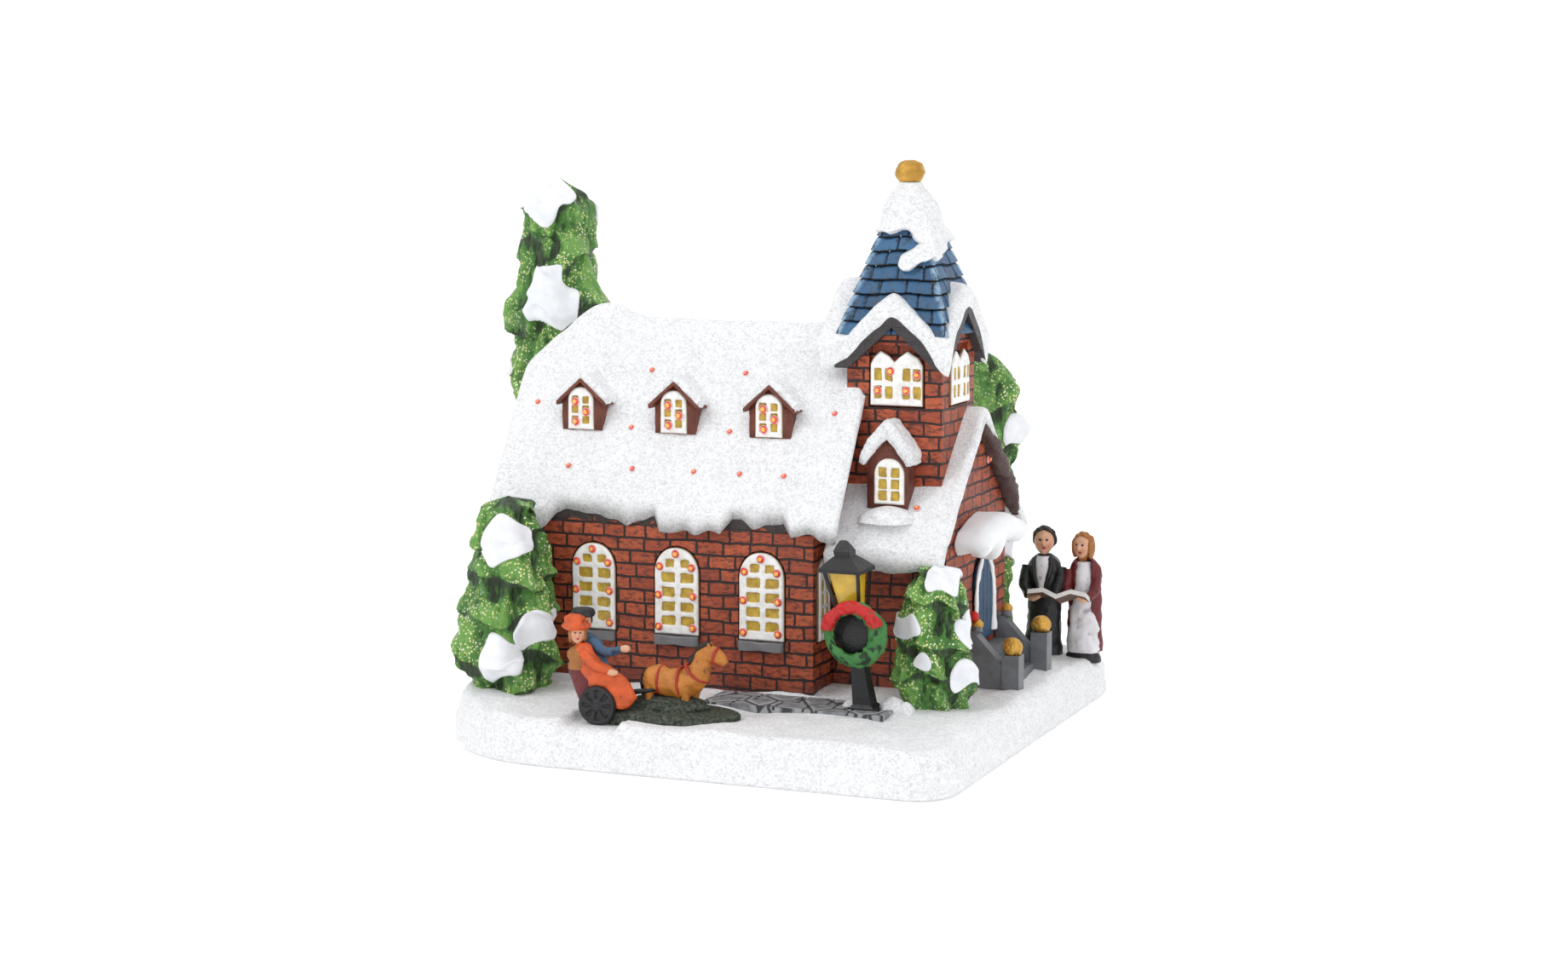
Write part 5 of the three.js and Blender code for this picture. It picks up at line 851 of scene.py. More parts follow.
def tree(name, node, x, y, foot, top, profile, tiers, patches, seed):
    """Boughs in tiers: each tier narrows upwards, is lobed round the trunk and folded like drapery; snow lies raised
    and smooth where the patches say (across, height, half width, half height as seen from the front right)."""
    t, angle = np.meshgrid(np.linspace(0, 1, 230), bearings(210), indexing="ij")
    z = foot + (top - foot) * t
    heights, radii = np.array(profile, float).T
    plain = np.interp(z, heights, radii)
    ray = xyz(np.cos(angle), np.sin(angle), 0)
    spot = xyz(x, y, z) + ray * plain[..., None]
    wavy = t * tiers + 0.45 * lumps(spot, 6.5, seed + 9)
    tier = np.floor(wavy)
    step = wavy - tier
    turn = 1.7 * (tier + ease(step, 0.8, 1.0))
    swell = 1.07 - 0.2 * step + 0.2 * ease(step, 0.7, 1.0)
    lobe = 0.108 * np.sin(5 * angle + turn) + 0.05 * lumps(spot, 4.2, seed + 5)
    fold = lumps(spot * np.array([1.5, 1.5, 0.5]), 1.7, seed + 3)
    fold = fold + 0.6 * lumps(spot * np.array([1, 1, 0.6]), 0.8, seed + 4)
    across = (spot - np.array([x, y, 0])) @ SEEN
    facing = ray @ np.array([np.sin(VIEW), -np.cos(VIEW), 0])
    snow = np.zeros_like(z)
    wave = 0.3 * lumps(spot, 4.2, seed + 7)
    for off, high, wide, tall in patches:
        near = np.where(facing > -0.2, 1 - np.hypot((across - off) / wide, (z - high) / tall) + wave, -1)
        far = np.where(facing < -0.3, 1 - np.hypot((across + off * 0.7) / wide, (z - high + 6) / tall) + wave, -1)
        snow = np.maximum(snow, ease(np.maximum(near, far), -0.02, 0.1))
    bulge, tuft = lumps(spot, 6.0, seed), lumps(spot, 3.0, seed + 12)
    leafy = plain * (swell + lobe * ease(plain, 2, 6)) + 0.9 * bulge + 0.55 * fold + 0.7 * tuft - 0.3
    body = leafy * (1 - snow) + snow * (plain * (0.97 + 0.8 * lobe) + 0.7 * bulge + 0.9)
    body = np.maximum(body * np.sqrt(ease(t, 1.0, 0.955)), 0.05)
    droop = 0.9 * np.cos(5 * angle + turn) * ease(t, 0.0, 0.1) * ease(t, 1.0, 0.93)
    points = draw_in(xyz(x + body * np.cos(angle), y + body * np.sin(angle), z + droop))
    # Relief: painted shade in the hollows and under the tier above, painted light on each tier's lower edge
    relief = 0.56 + 0.42 * fold + 1.8 * lobe + 0.3 * bulge + 0.35 * tuft
    relief = relief - 0.55 * ease(step, 0.72, 1.0) + 0.2 * (0.5 - step)
    skin(name, points, NEEDLES, facts={"relief": unit(relief), "snow": snow}, node=node)


tree("back_left_tree", "tree_back_left", -59.4, 21, 9, 125.7,
     [(9, 6.2), (18, 7), (68, 8), (78, 12), (84, 10.4), (93, 13.2), (99, 10), (106, 9), (112, 8.4), (118, 9),
      (126, 3)], 7,
     [(-2.9, 121, 7.2, 6.0), (-1.2, 96.2, 6.6, 7.6), (-14.0, 80.4, 4.4, 5.2)], 3)
tree("front_left_tree", "tree_front_left", -45.5, -33.5, 9, 54.7,
     [(9, 7.6), (16, 11), (30, 10.2), (45, 8.2), (52, 6.4), (55, 3)], 5,
     [(0.0, 45.2, 6.3, 5.2), (6.5, 25.6, 4.4, 4.2), (-1.9, 18.6, 5.4, 5.8)], 8)
tree("door_tree", "tree_by_door", 51.2, -17.8, 9, 42.6,
     [(9, 6.4), (16, 8.8), (25, 7.8), (36, 6), (42, 4), (44.5, 1.5)], 4,
     [(1.6, 40.4, 4.0, 3.6), (-5.5, 29.0, 2.8, 2.8), (6.8, 28.2, 2.6, 3.2), (-3.1, 21.3, 2.4, 2.4),
      (6.2, 18.2, 3.0, 2.8)], 15)
tree("back_right_tree", "tree_back_right", 41, 47, 9, 84.6,
     [(9, 6), (30, 6.6), (50, 7), (60, 7), (66, 10.2), (71, 6.8), (76, 8), (85, 1.5)], 6,
     [(7.4, 65.2, 3.8, 4.0), (8.0, 36.0, 4.5, 3.4)], 22)


# Windows and the red ends of the fibres

def walk(line, count):
    """Points spaced evenly along a closed line."""
    line = np.array(list(line) + list(line[:1]), float)
    length = np.concatenate([[0], np.cumsum(np.linalg.norm(np.diff(line, axis=0), axis=1))])
    at = np.linspace(0, length[-1], count, endpoint=False)
    return np.stack([np.interp(at, length, line[:, k]) for k in range(line.shape[1])], 1)


def panel(name, origin, right, line, relief, finish, rings=46, count=150, back=-0.4, node=None):
    """Plate on a wall: rings shrink from its outline to its middle; relief(u, v, inside) gives height and facts."""
    right = np.array(right, float)
    out = np.cross(right, UP)
    edge = walk(line, count)
    middle = edge.mean(0)
    share = np.linspace(1, 0.02, rings)[:, None, None]
    plane = middle + share * (edge - middle)
    inside = (1 - share[..., 0]) * np.hypot(*(edge - middle).T)
    depth, facts = relief(plane[..., 0], plane[..., 1], inside)
    depth = np.vstack([np.full((1, count), back), depth])
    plane = np.concatenate([plane[:1], plane])
    facts = {k: np.vstack([v[:1], v]) for k, v in facts.items()}
    rows = np.array(origin, float) + plane[..., :1] * right + plane[..., 1:] * UP + depth[..., None] * out
    skin(name, rows, finish, facts=facts, node=node)


def glazing(panes, depth=0.9, seed=0):
    """White frame of uneven thickness with sunk panes (across, height, width, height of each)."""
    def relief(u, v, inside):
        spot = xyz(u, seed, v)
        pane = np.zeros_like(u)
        for a, b, wide, tall in panes:
            off = ((np.abs(u - a) / wide * 2) ** 8 + (np.abs(v - b) / tall * 2) ** 8) ** 0.125
            pane = np.maximum(pane, ease(off + 0.12 * lumps(spot, 1.1, 4), 1.06, 0.93))
        height = depth * (0.35 + 0.65 * ease(inside, 0.0, 0.5)) * (0.88 + 0.12 * lumps(spot, 1.7, 2)) - 0.42 * pane
        # relief for the painted shade at the frame's rim and round the panes
        shade = unit(ease(inside, 0.0, 0.4) - 2.2 * pane * (1 - pane))
        return height, {"pane": pane, "relief": shade}
    return relief


def arch(wide, tall, spring):
    """Round-headed arch: straight to the spring, then each side bends in to the tip."""
    s = np.linspace(0, 1, 9)
    x, z = wide / 2 * np.cos(s * np.pi / 2) ** 0.9, spring + (tall - spring) * np.sin(s * np.pi / 2)
    return [(-wide / 2, 0), (wide / 2, 0)] + list(zip(x, z)) + list(zip(-x[-2::-1], z[-2::-1]))


SILL_LINE = [(-5.6, -2.4), (5.6, -2.4), (5.6, 0.0), (-5.6, 0.0)]


def pane_grid(columns, rows, wide, tall):
    """Like panes at every crossing of the columns and the rows."""
    return [(a, b, wide, tall) for a in columns for b in rows]


NAVE_PANES = pane_grid((-1.9, 2.7), (3.3, 6.5, 9.8, 13.1), 3.3, 2.2) + pane_grid((-1.5, 2.1), (16.4,), 2.2, 1.9)
NARROW_PANES = pane_grid((-1.35, 1.35), (3.0, 6.2, 9.4, 12.6), 1.7, 2.4)
SMALL_PANES = pane_grid((-1.35, 1.35), (2.3, 4.7, 6.9), 1.7, 1.8)
PORCH_PANES = pane_grid((-1.5, 1.5), (2.0, 4.6, 7.2), 2.0, 2.2)
TWIN_PANES = pane_grid((-4.3, -1.7, 2.4, 4.9), (3.0, 7.0), 1.8, 2.8)
TWIN_LINE = [(-6.2, 0), (6.2, 0), (6.2, 9.2), (5.2, 10.8), (2.6, 12.3), (0.7, 11.0), (-0.5, 9.9), (-1.8, 11.2),
             (-3.8, 12.3), (-5.4, 10.9), (-6.2, 9.3)]


def stone_face(u, v, inside):
    """Worn block: its edges are rounded off."""
    height = 1.7 * ease(inside, -0.3, 0.6) + 0.15 * lumps(xyz(u, 0, v), 1.5, 6)
    return height, {"relief": ease(inside, 0, 0.5)}


for k, (x, y, right) in enumerate([(-29.75, -22, 1), (-9, -22, 1), (11.75, -22, 1), (-23.82, 26, -1),
                                   (5.82, 26, -1)]):
    node = f"nave_window_{k + 1}" if k < 3 else f"back_window_{k - 2}"
    place = (x, y + 0.1 * right, 23.3), (right, 0, 0)
    panel(f"{node}_frame", *place, arch(10.9, 20.0, 14.0), glazing(NAVE_PANES, 0.95, 7 * k), WINDOW, node=node)
    panel(f"{node}_sill", *place, SILL_LINE, stone_face, SILL, rings=14, count=60)
panel("side_window_frame", (24.1, -16.2, 23.4), (0, 1, 0), arch(6.8, 18.8, 14.5), glazing(NARROW_PANES, 0.75, 9),
      WINDOW, node="side_window")
for side, place, right, deep, seed in (("front", (37.95, -6.5, 75.7), (1, 0, 0), 0.85, 3),
                                       ("side", (48.7, TOWER_Y, 75.7), (0, 1, 0), 0.75, 5)):
    panel(f"{side}_twin_window", place, right, TWIN_LINE, glazing(TWIN_PANES, deep, seed), WINDOW,
          node=f"tower_window_{side}")

BEAD_SHAPE, BEAD_FACES = dome([(1.25, -0.3), (1.3, 0.12), (1.02, 0.3), (0.92, 0.5), (0.6, 0.78), (0.24, 0.9)], 10)
BEAD_FACT = np.concatenate([np.repeat([-1, -1, -0.3, 0.1, 0.7, 1.0], 10), [-1, 1.0]])
NAVE_WINDOW_X, DORMER_X = (-29.75, -9, 11.75), (-36.3, -12.9, 10.5)
tips = [((x + a, -22.75, 23.3 + b), (0, -1, 0), 0.8) for x in NAVE_WINDOW_X
        for a, b in [(0, 18.6), (-3.9, 15.6), (3.9, 15.6), (-4.2, 9.09), (4.2, 9.09), (-4.2, 1.8), (4.2, 1.8)]]
tips += [((x, RIDGE_Y - (RIDGE - z) / PITCH + 0.1, z + 0.1), (0, -0.841, 0.541), 0.55) for x, z in [
    (-37.5, 60.2), (-21.4, 60.2), (-6.1, 60.2), (5.1, 60.2), (15.8, 60.2), (-24.2, 69), (0.3, 69), (-49.6, 73.7),
    (24.6, 73.7), (-22.6, 81.6), (0.9, 81.6)]]
tips += [((37.7, -14, 51.4), (0, -0.689, 0.725), 0.6), ((44.6, -11.6, 53.7), (0, -0.689, 0.725), 0.6),
         ((51.2, 19.5, 61.5), (1, 0, 0), 0.8)]
tips += [((37.95 + a, -7.3, 75.6 + b), (0, -1, 0), 0.78)
         for a, b in [(-1.25, 7.9), (4.95, 7.2), (-4.25, 3.5), (2.45, 3.6)]]
tips += [((x + a, -14.95, 67.8 + b), (0, -1, 0), 0.78) for x in DORMER_X
         for a, b in [(-1.3, 6.9), (1.4, 4.6), (-1.2, 2.3)]]
copies("fibre_ends", BEAD_SHAPE, BEAD_FACES, np.array([stance(*tip) for tip in tips]), BEAD, {"middle": BEAD_FACT})


# Dormers

DORMER_BACK = -6.0


def bar(line, start, end, count, sides, size, seed):
    """Rows of one closed outline (across, height) carried from front to back, made uneven by bumps."""
    edge = walk(line, sides)
    along = np.linspace(start, end, count)[:, None]
    return puff(xyz(edge[:, 0], along, edge[:, 1]), size, 1.6, seed)


def dormer(name, node, x, front, foot, eave, apex, half, over, thick, walls, seed):
    """Small gabled house: walls, a roof of snow and roof boards that stand out in front."""
    walls_line = [(x - half, foot), (x + half, foot), (x + half, eave), (x, apex), (x - half, eave)]
    skin(f"{name}_walls", bar(walls_line, front, DORMER_BACK, 14, 80, 0.14, seed), walls, node=node)
    slope = (apex - eave) / half
    low = eave - over * slope
    top = apex + thick
    wide, flank = half + over, (top + low + thick) / 2 + 0.5
    line = [(x - wide, low), (x, apex + 0.1), (x + wide, low), (x + wide + 0.15, low + thick * 0.7),
            (x + half * 0.5, flank), (x, top), (x - half * 0.5, flank), (x - wide - 0.15, low + thick * 0.7)]
    skin(f"{name}_roof", bar(line, front - 0.7, DORMER_BACK, 20, 120, 0.34, seed + 1), SNOW, ladder=True)
    under = [(x - wide + 0.2, low - 0.5), (x, apex - 0.5), (x + wide - 0.2, low - 0.5), (x + wide, low + 0.3),
             (x, apex + 0.4), (x - wide, low + 0.3)]
    skin(f"{name}_boards", bar(under, front - 1.0, front + 4.0, 12, 110, 0.12, seed + 2), DORMER, ladder=True)


for k, x in enumerate(DORMER_X):
    dormer(f"dormer_{k + 1}", f"roof_dormer_{k + 1}", x, -14.1, 68.1, 75.4, 79.7, 5.0, 1.3, 1.6, DORMER, 40 + k)
    panel(f"dormer_{k + 1}_window", (x - 0.2, -14.0, 68.2), (1, 0, 0), arch(6.6, 9.9, 6.8),
          glazing(SMALL_PANES, 0.85, 60 + k), WINDOW, 34, 110)
    verge = tube([(x + 0.2, -14.6, 81.0), (x + 2.6, -14.7, 79.3), (x + 4.6, -14.6, 77.4), (x + 6.3, -14.4, 75.6)],
                 [0.5, 0.8, 0.55 + 0.25 * (k == 1), 0.7], 14, 60, 1.3)
    skin(f"dormer_{k + 1}_verge", puff(verge, 0.3, 1.1, k), SNOW)

dormer("porch_dormer_front", "porch_dormer", 37.7, -12.0, 53.2, 65.6, 70.4, 4.7, 1.2, 0.8, PORCH_DORMER, 50)
panel("porch_dormer_window", (38.3, -11.9, 54.2), (1, 0, 0), arch(7.2, 10.4, 6.6),
      glazing(PORCH_PANES, 0.9, 71), WINDOW, 34, 110)
CAP_LINE = [(31.5, 63.6), (32.5, 62.9), (35.2, 66.3), (37.8, 69.0), (40.3, 66.2), (42.8, 62.8), (44.0, 63.4),
            (43.7, 66.2), (41.2, 70.0), (38.9, 72.6), (37.4, 73.0), (35.8, 71.6), (33.2, 68.2), (31.7, 65.8)]
skin("porch_dormer_snow", bar(CAP_LINE, -13.1, -7.0, 26, 130, 0.3, 77), SNOW, ladder=True)


# Snow on the spire, gold ball

def spire_snow():
    """Snow over the tip: a skin that stands out of the spire where snow lies and hides in it elsewhere."""
    z, share = np.meshgrid(np.linspace(105.6, 125.1, 150), np.linspace(0, 4, 241)[:-1], indexing="ij")
    x, y = square_round(share)
    half = SPIRE_HALF - SPIRE_TAPER * (z - SPIRE_FOOT)
    spot = xyz(x * half, y * half, z)
    line = 114.4 - 3.2 * ease(x, 0.1, 0.9) - 3.2 * (x > 0.99) * ease(y, 0.4, -0.6)
    line = line + 0.9 * lumps(spot, 3.2, 5) + 0.5 * lumps(spot, 1.4, 6)
    mask = ease(z - line, -0.5, 0.7)
    a = x * half
    front = y < -0.99
    for (a0, z0), (a1, z1), size in [((8.0, 111.2), (4.6, 109.7), 2.5), ((4.6, 109.7), (1.7, 107.6), 2.4)]:
        way = np.array([a1 - a0, z1 - z0])
        t = np.clip(((a - a0) * way[0] + (z - z0) * way[1]) / (way @ way), 0, 1)
        gap = np.hypot(a - a0 - t * way[0], z - z0 - t * way[1])
        mask = np.where(front, np.maximum(mask, ease(gap + 0.2 * lumps(spot, 1.5, 9), size, size - 0.8)), mask)
    bell = np.interp(z, [105, 115.6, 118.5, 120.7, 123, 124.4, 125.1], [12, 7.3, 6.9, 6.1, 4.3, 2.9, 2.4]) * 0.93
    uneven = 0.25 * mask * lumps(spot, 1.8, 8)
    out = half * (1 + 0.22 * mask * ease(z, 113, 118)) + 1.5 * mask - 0.7 * (1 - mask) + uneven
    out = np.minimum(out, bell)
    corner = (np.abs(x) ** 2.6 + np.abs(y) ** 2.6) ** (1 / 2.6)
    round_x, round_y = x / corner, y / corner
    soft = mask * ease(z, 112, 118)
    out = np.where(z > 116, np.maximum(out, half + 0.5), out)
    px, py = x + (round_x - x) * soft, y + (round_y - y) * soft
    rows = xyz(TOWER_X - 0.5 * ease(z, 116, 125) + px * out, TOWER_Y + py * out, z)
    skin("spire_snow_cap", rows, SNOW, node="spire_snow")


spire_snow()
ball = loft([(125.0, 2.3, 2.3), (126.0, 3.2, 3.0), (127.6, 3.3, 3.2), (129.3, 2.4, 2.4), (130.1, 0.9, 0.9)], 40, 40)
ball = puff(ball + np.array([36.7, 4.9, 0]), 0.42, 1.7, 4)
ball[..., 2] = np.clip(ball[..., 2], 125.2, 130.1)
skin("gold_ball", ball, GOLD, node="finial")


# Porch: door, canopy, barge boards, steps

def planks(u, v, inside):
    """Upright planks with grooves between them."""
    groove = ease(np.abs((u + 7) / 2.8 % 1 - 0.5), 0.36, 0.47)
    height = 0.55 + 0.1 * lumps(xyz(u, 0, v * 0.3), 0.9, 3) - 0.4 * groove
    return height, {"relief": 1 - groove}


panel("door_planks", (51.2, 16, 20.2), (0, 1, 0), arch(12.6, 19.6, 12.0), planks, BLUE, 40, 130, node="front_door")
door_arch = [(51.8, y, z) for y, z in [
    (9.6, 20.6), (9.5, 26), (9.6, 31.5), (11.2, 36.2), (14.2, 39.6), (16.2, 40.6), (18.4, 39.2), (21.2, 35.4),
    (22.4, 31), (22.5, 26), (22.4, 21.4)]]
door_frame = tube(door_arch, [0.9, 0.75, 0.8, 0.8, 0.75, 0.8, 0.8, 0.75, 0.8, 0.9, 1.5], 14, 130, 0.55)
skin("door_frame", puff(door_frame, 0.18, 1.4, 6), SMOOTH_SNOW)


def canopy():
    """Snow over the door: a lens with one drip below its middle, rounded at its ends and its front."""
    x, s = np.meshgrid(np.linspace(51.3, 59.2, 26), np.linspace(0, 1, 150, endpoint=False), indexing="ij")
    t = np.where(s < 0.5, -1 + 4 * s, 3 - 4 * s)
    spot = xyz(x, 16 * t, 0)
    outer = np.sqrt(np.clip(1 - ((x - 55.8) / 3.6).clip(0, 1) ** 2, 0.02, 1))
    top = 50.2 - 3.9 * np.abs(t) ** 1.9 + 0.25 * lumps(spot, 5, 4)
    tip = np.sqrt(np.clip((1 - np.abs(t)) / 0.14, 0.01, 1))
    drip = 3.2 * np.exp(-((t + 0.2) / 0.08) ** 2)
    thick = 3.2 + 3.6 * np.sqrt(unit(1 - t ** 2)) + drip + 0.6 * lumps(spot, 3.2, 8)
    thick = np.clip(thick, 0.3, 10.2) * tip
    top = top - 1.6 * (1 - tip)
    middle = top - thick * 0.35
    z = np.where(s < 0.5, middle + (top - middle) * outer, middle - (thick * 0.65) * outer)
    rows = xyz(x, 10.4 + 15.8 * t * (0.94 + 0.06 * outer), z)
    skin("door_canopy_snow", rows, SMOOTH_SNOW, ladder=True, node="door_canopy")


canopy()
# Dark strip under the canopy, against the wall: a painted shadow
shade = tube([(52.4, 2, 43.2), (53.2, 7, 44.4), (53.4, 11, 44.4), (52.8, 15, 43.4)], [0.8, 1.8, 1.7, 0.7], 12, 40)
skin("canopy_shade", puff(shade, 0.35, 1.6, 3), CANOPY_SHADOW)
board = tube([(51.8, 12.4, 69.6), (52.0, 18, 65.0), (52.2, 26, 57.6), (52.0, 33, 51.2), (51.8, 38, 46.6)],
             [1.2, 2.4, 2.6, 2.2, 1.4], 20, 110, 0.6)
skin("barge_board", puff(board, 0.6, 2.0, 31), BARGE)
BOSS, BOSS_FACES = dome([(1.5, -0.4), (1.6, 0.2), (1.25, 0.75), (0.6, 1.05)], 12)
bosses = [stance((53.0, y, z), (1, 0, 0.1)) for y, z in [(17.5, 65.4), (24.5, 59.2), (31.5, 52.8)]]
copies("barge_bosses", BOSS, BOSS_FACES, np.array(bosses), BARGE, {"relief": 0.8})


def lumpy_ball(name, x, y, z, size, finish, seed):
    """Small cast ball with an uneven skin."""
    turn = np.linspace(0.08, np.pi - 0.08, 22)[:, None]
    angle = bearings(24)
    rows = xyz(np.cos(angle) * np.sin(turn), np.sin(angle) * np.sin(turn), -np.cos(turn)) * size
    rows = rows * (1 + 0.12 * lumps(rows, size * 0.7, seed))[..., None] + np.array([x, y, z])
    skin(name, rows, finish)


for k, (x, y, z, size) in enumerate([(61.9, 5, 20.7, 2.25), (61.9, 27, 22.3, 2.25), (53.6, 5, 25.4, 1.3),
                                     (53.6, 27, 25.6, 1.3)]):
    lumpy_ball(f"step_ball_{k + 1}", x, y, z, size, GOLD, k)


# Wreath of the lamp

def hoop(name, start, end, radius, size, shape, finish, out, seed, count=110, node=None):
    """Ring of a wreath about its middle: size(turn) gives the thickness, bumps make it leafy."""
    closed = end - start > 6.2
    a, b = np.meshgrid(np.linspace(start, end, count, endpoint=not closed), bearings(26), indexing="ij")
    spot = xyz(9 * np.cos(a), 3 * np.cos(b), 9 * np.sin(a) + 3 * np.sin(b))
    thick = size(a) * (1 + shape * lumps(spot, 1.9, seed) + 0.6 * shape * lumps(spot, 0.9, seed + 1))
    flat = radius + thick * np.cos(b)
    x, y, z = WREATH
    rows = xyz(x + flat * np.cos(a), y + out + 0.75 * thick * np.sin(b), z + flat * np.sin(a))
    skin(name, rows, finish, along=closed, facts={"relief": unit(0.5 + 0.9 * lumps(spot, 1.9, seed))}, node=node)


hoop("wreath_leaves", 0, 2 * np.pi, 5.7, lambda a: 1.45 + 0.45 * np.cos(a), 0.3, LEAVES, 0, 3, node="lamp_wreath")
hoop("wreath_band", 0.35, 3.0, 6.0, lambda a: 1.1 + 0.4 * np.sin(3 * a) ** 2, 0.4, BERRIES, -0.9, 5, 70)
shade = tube([(WREATH[0], y, WREATH[2]) for y in (-33.0, -32.7, -32.4)], [4.7, 4.9, 4.7], 40, 12)
skin("wreath_shade", puff(shade, 0.2, 2, 3), BLACK)
lumpy_ball("red_ball", 53.0, 4.2, 27.4, 1.15, BERRIES, 8)
for k, (x, y, z, wide, high) in enumerate([(44.6, -27.0, 10.5, 3.4, 3.6), (48.0, -27.5, 10, 2.4, 3.2),
                                           (35.2, -27.0, 10, 3.2, 2.6), (38.4, -13.2, 51.4, 6.6, 2.6)]):
    heap = loft([(z - 1, wide, wide * 0.8), (z + high * 0.4, wide * 0.8, wide * 0.66),
                 (z + high * 0.8, wide * 0.45, wide * 0.4), (z + high, 0.4, 0.4)], 40, 40) + np.array([x, y, 0])
    skin(f"snow_heap_{k + 1}", puff(heap, 0.6, 2.2, 60 + k), SNOW)


# Carriage with its riders

def wheel(name, x, y, z, radius):
    """Disc with a rim, a hub and eight carved slots, the same on both sides."""
    share = np.concatenate([np.linspace(0.03, 1, 40), np.linspace(1, 0.03, 40)])
    side = np.concatenate([np.full(40, -1), np.full(40, 1)])
    s, a = np.meshgrid(share, bearings(160), indexing="ij")
    slot = ease(np.cos(8 * a), 0.1, 0.6) * ease(s, 0.3, 0.4) * ease(s, 0.8, 0.7)
    deep = 0.75 + 0.35 * ease(s, 0.3, 0.2) - 0.45 * slot + 0.15 * ease(np.abs(s - 0.88), 0.1, 0.04)
    deep = deep * ease(s, 1.02, 0.94)
    rows = xyz(x + s * radius * np.cos(a), y + side[:, None] * deep, z + s * radius * np.sin(a))
    skin(name, rows, BLACK, facts={"relief": 1 - slot})


wheel("near_wheel", -13, -55.4, 13.15, 4.4)
wheel("far_wheel", -13, -48.0, 13.15, 4.4)


def cast(name, rows, finish, bumps, seed, node):
    """Cast piece, painted shade and highlights by bumps: relief is 0.7 and shares of the coarse and the fine ones."""
    rows = draw_in(rows)
    relief = 0.7 + 0.45 * lumps(rows, bumps, seed) + 0.35 * lumps(rows, 0.7, seed)
    skin(name, rows, finish, facts={"relief": unit(relief)}, node=node)


def form(name, sections, finish, size=0.3, bumps=1.6, seed=0, sides=40, count=60, node=None):
    """Body, dress or hat through sections of height, half width, half depth, middle x and middle y."""
    cast(name, puff(loft(sections, sides, count), size, bumps, seed), finish, bumps, seed, node)


def rod(name, path, radii, finish, size=0.15, bumps=1.2, seed=0, sides=16, count=40, node=None):
    """Limb along a path."""
    cast(name, puff(tube(path, radii, sides, count), size, bumps, seed), finish, bumps, seed, node)


form("carriage_tub", [(11.4, 3.4, 1.6, -13.6, -51.4), (13.4, 5.6, 2.5, -13.8, -51.4),
                      (16.4, 6.8, 2.7, -14.0, -51.4), (19.2, 6.6, 2.8, -15.0, -51.4),
                      (21.4, 3.6, 2.3, -18.2, -51.4)], MAROON, 0.35, 2.0, 3, node="carriage")
rod("carriage_axle", [(-13, -56.2, 13.15), (-13, -51, 13.15), (-13, -47.3, 13.15)], [0.7, 0.6, 0.7], BLACK, 0.05)
rod("carriage_foot", [(-13, -51.2, 9.2), (-13, -51.2, 11.0), (-13, -51.2, 13.0)], [2.0, 1.8, 2.4], BLACK, 0.1)
rod("carriage_shaft", [(-8.5, -50.6, 15.4), (-4, -49.4, 16.0), (0.5, -48.6, 17.0)], [0.7, 0.5, 0.45], BLACK, 0.1)
form("lady_dress", [(12.6, 2.0, 1.2, -8.6, -53.4), (14.8, 4.6, 1.9, -9.4, -53.3), (17.6, 5.2, 2.1, -11.2, -53.1),
                    (20.2, 4.4, 2.1, -13.6, -53.0), (22.6, 2.9, 1.8, -16.6, -52.9), (25.2, 2.0, 1.5, -17.6, -52.8),
                    (26.2, 0.9, 0.9, -17.8, -52.8)], ORANGE, 0.5, 1.9, 5, node="riders")
form("lady_shawl", [(20.4, 2.9, 1.9, -18.0, -52.9), (22.6, 3.0, 2.1, -18.2, -52.8), (24.6, 2.4, 1.9, -18.2, -52.8),
                    (25.8, 1.0, 1.0, -18.2, -52.8)], GINGER, 0.4, 1.3, 6)
rod("lady_arm", [(-16.8, -54.2, 24.2), (-13.8, -55.0, 21.8), (-10.6, -54.6, 20.6)], [1.1, 1.0, 0.7], ORANGE, 0.15)
rod("lady_hand", [(-10.8, -54.6, 20.6), (-9.6, -54.5, 20.4), (-8.6, -54.3, 20.5)], [0.65, 0.75, 0.4], FLESH, 0.05)
form("man_coat", [(14.6, 4.2, 1.7, -13.6, -50.2), (18.4, 4.2, 1.8, -14.6, -50.1), (22.6, 3.0, 1.8, -16.6, -50),
                  (26.0, 2.8, 1.7, -17.2, -50), (27.8, 1.2, 1.1, -17.8, -50)], DENIM, 0.4, 1.8, 7)
rod("man_arm", [(-16.8, -50.6, 26.2), (-13.0, -51.0, 24.2), (-9.4, -50.6, 24.9)], [1.35, 1.1, 0.8], DENIM, 0.2)
rod("man_hand", [(-9.6, -50.6, 24.9), (-8.3, -50.5, 25.1), (-7.6, -50.4, 25.4)], [0.7, 0.85, 0.45], FLESH, 0.05)


# Heads

def face_recipe(r):
    """Painted skin; the piece says where eyes, mouth and cheeks are."""
    tone = r.blend(r.span(r.noise(r.place(), 2.0), 0.3, 0.7), (0.62, 0.32, 0.19), (0.74, 0.42, 0.27))
    tone = r.blend(r.times(r.fact("cheek"), 0.5), tone, (0.7, 0.2, 0.13))
    tone = r.blend(r.span(r.fact("mouth"), 0.3, 0.6), tone, (0.4, 0.03, 0.03))
    return {"Base Color": r.blend(r.span(r.fact("eye"), 0.3, 0.6), tone, (0.02, 0.012, 0.01))}


FACE = material("face_paint", face_recipe, Roughness=0.42)


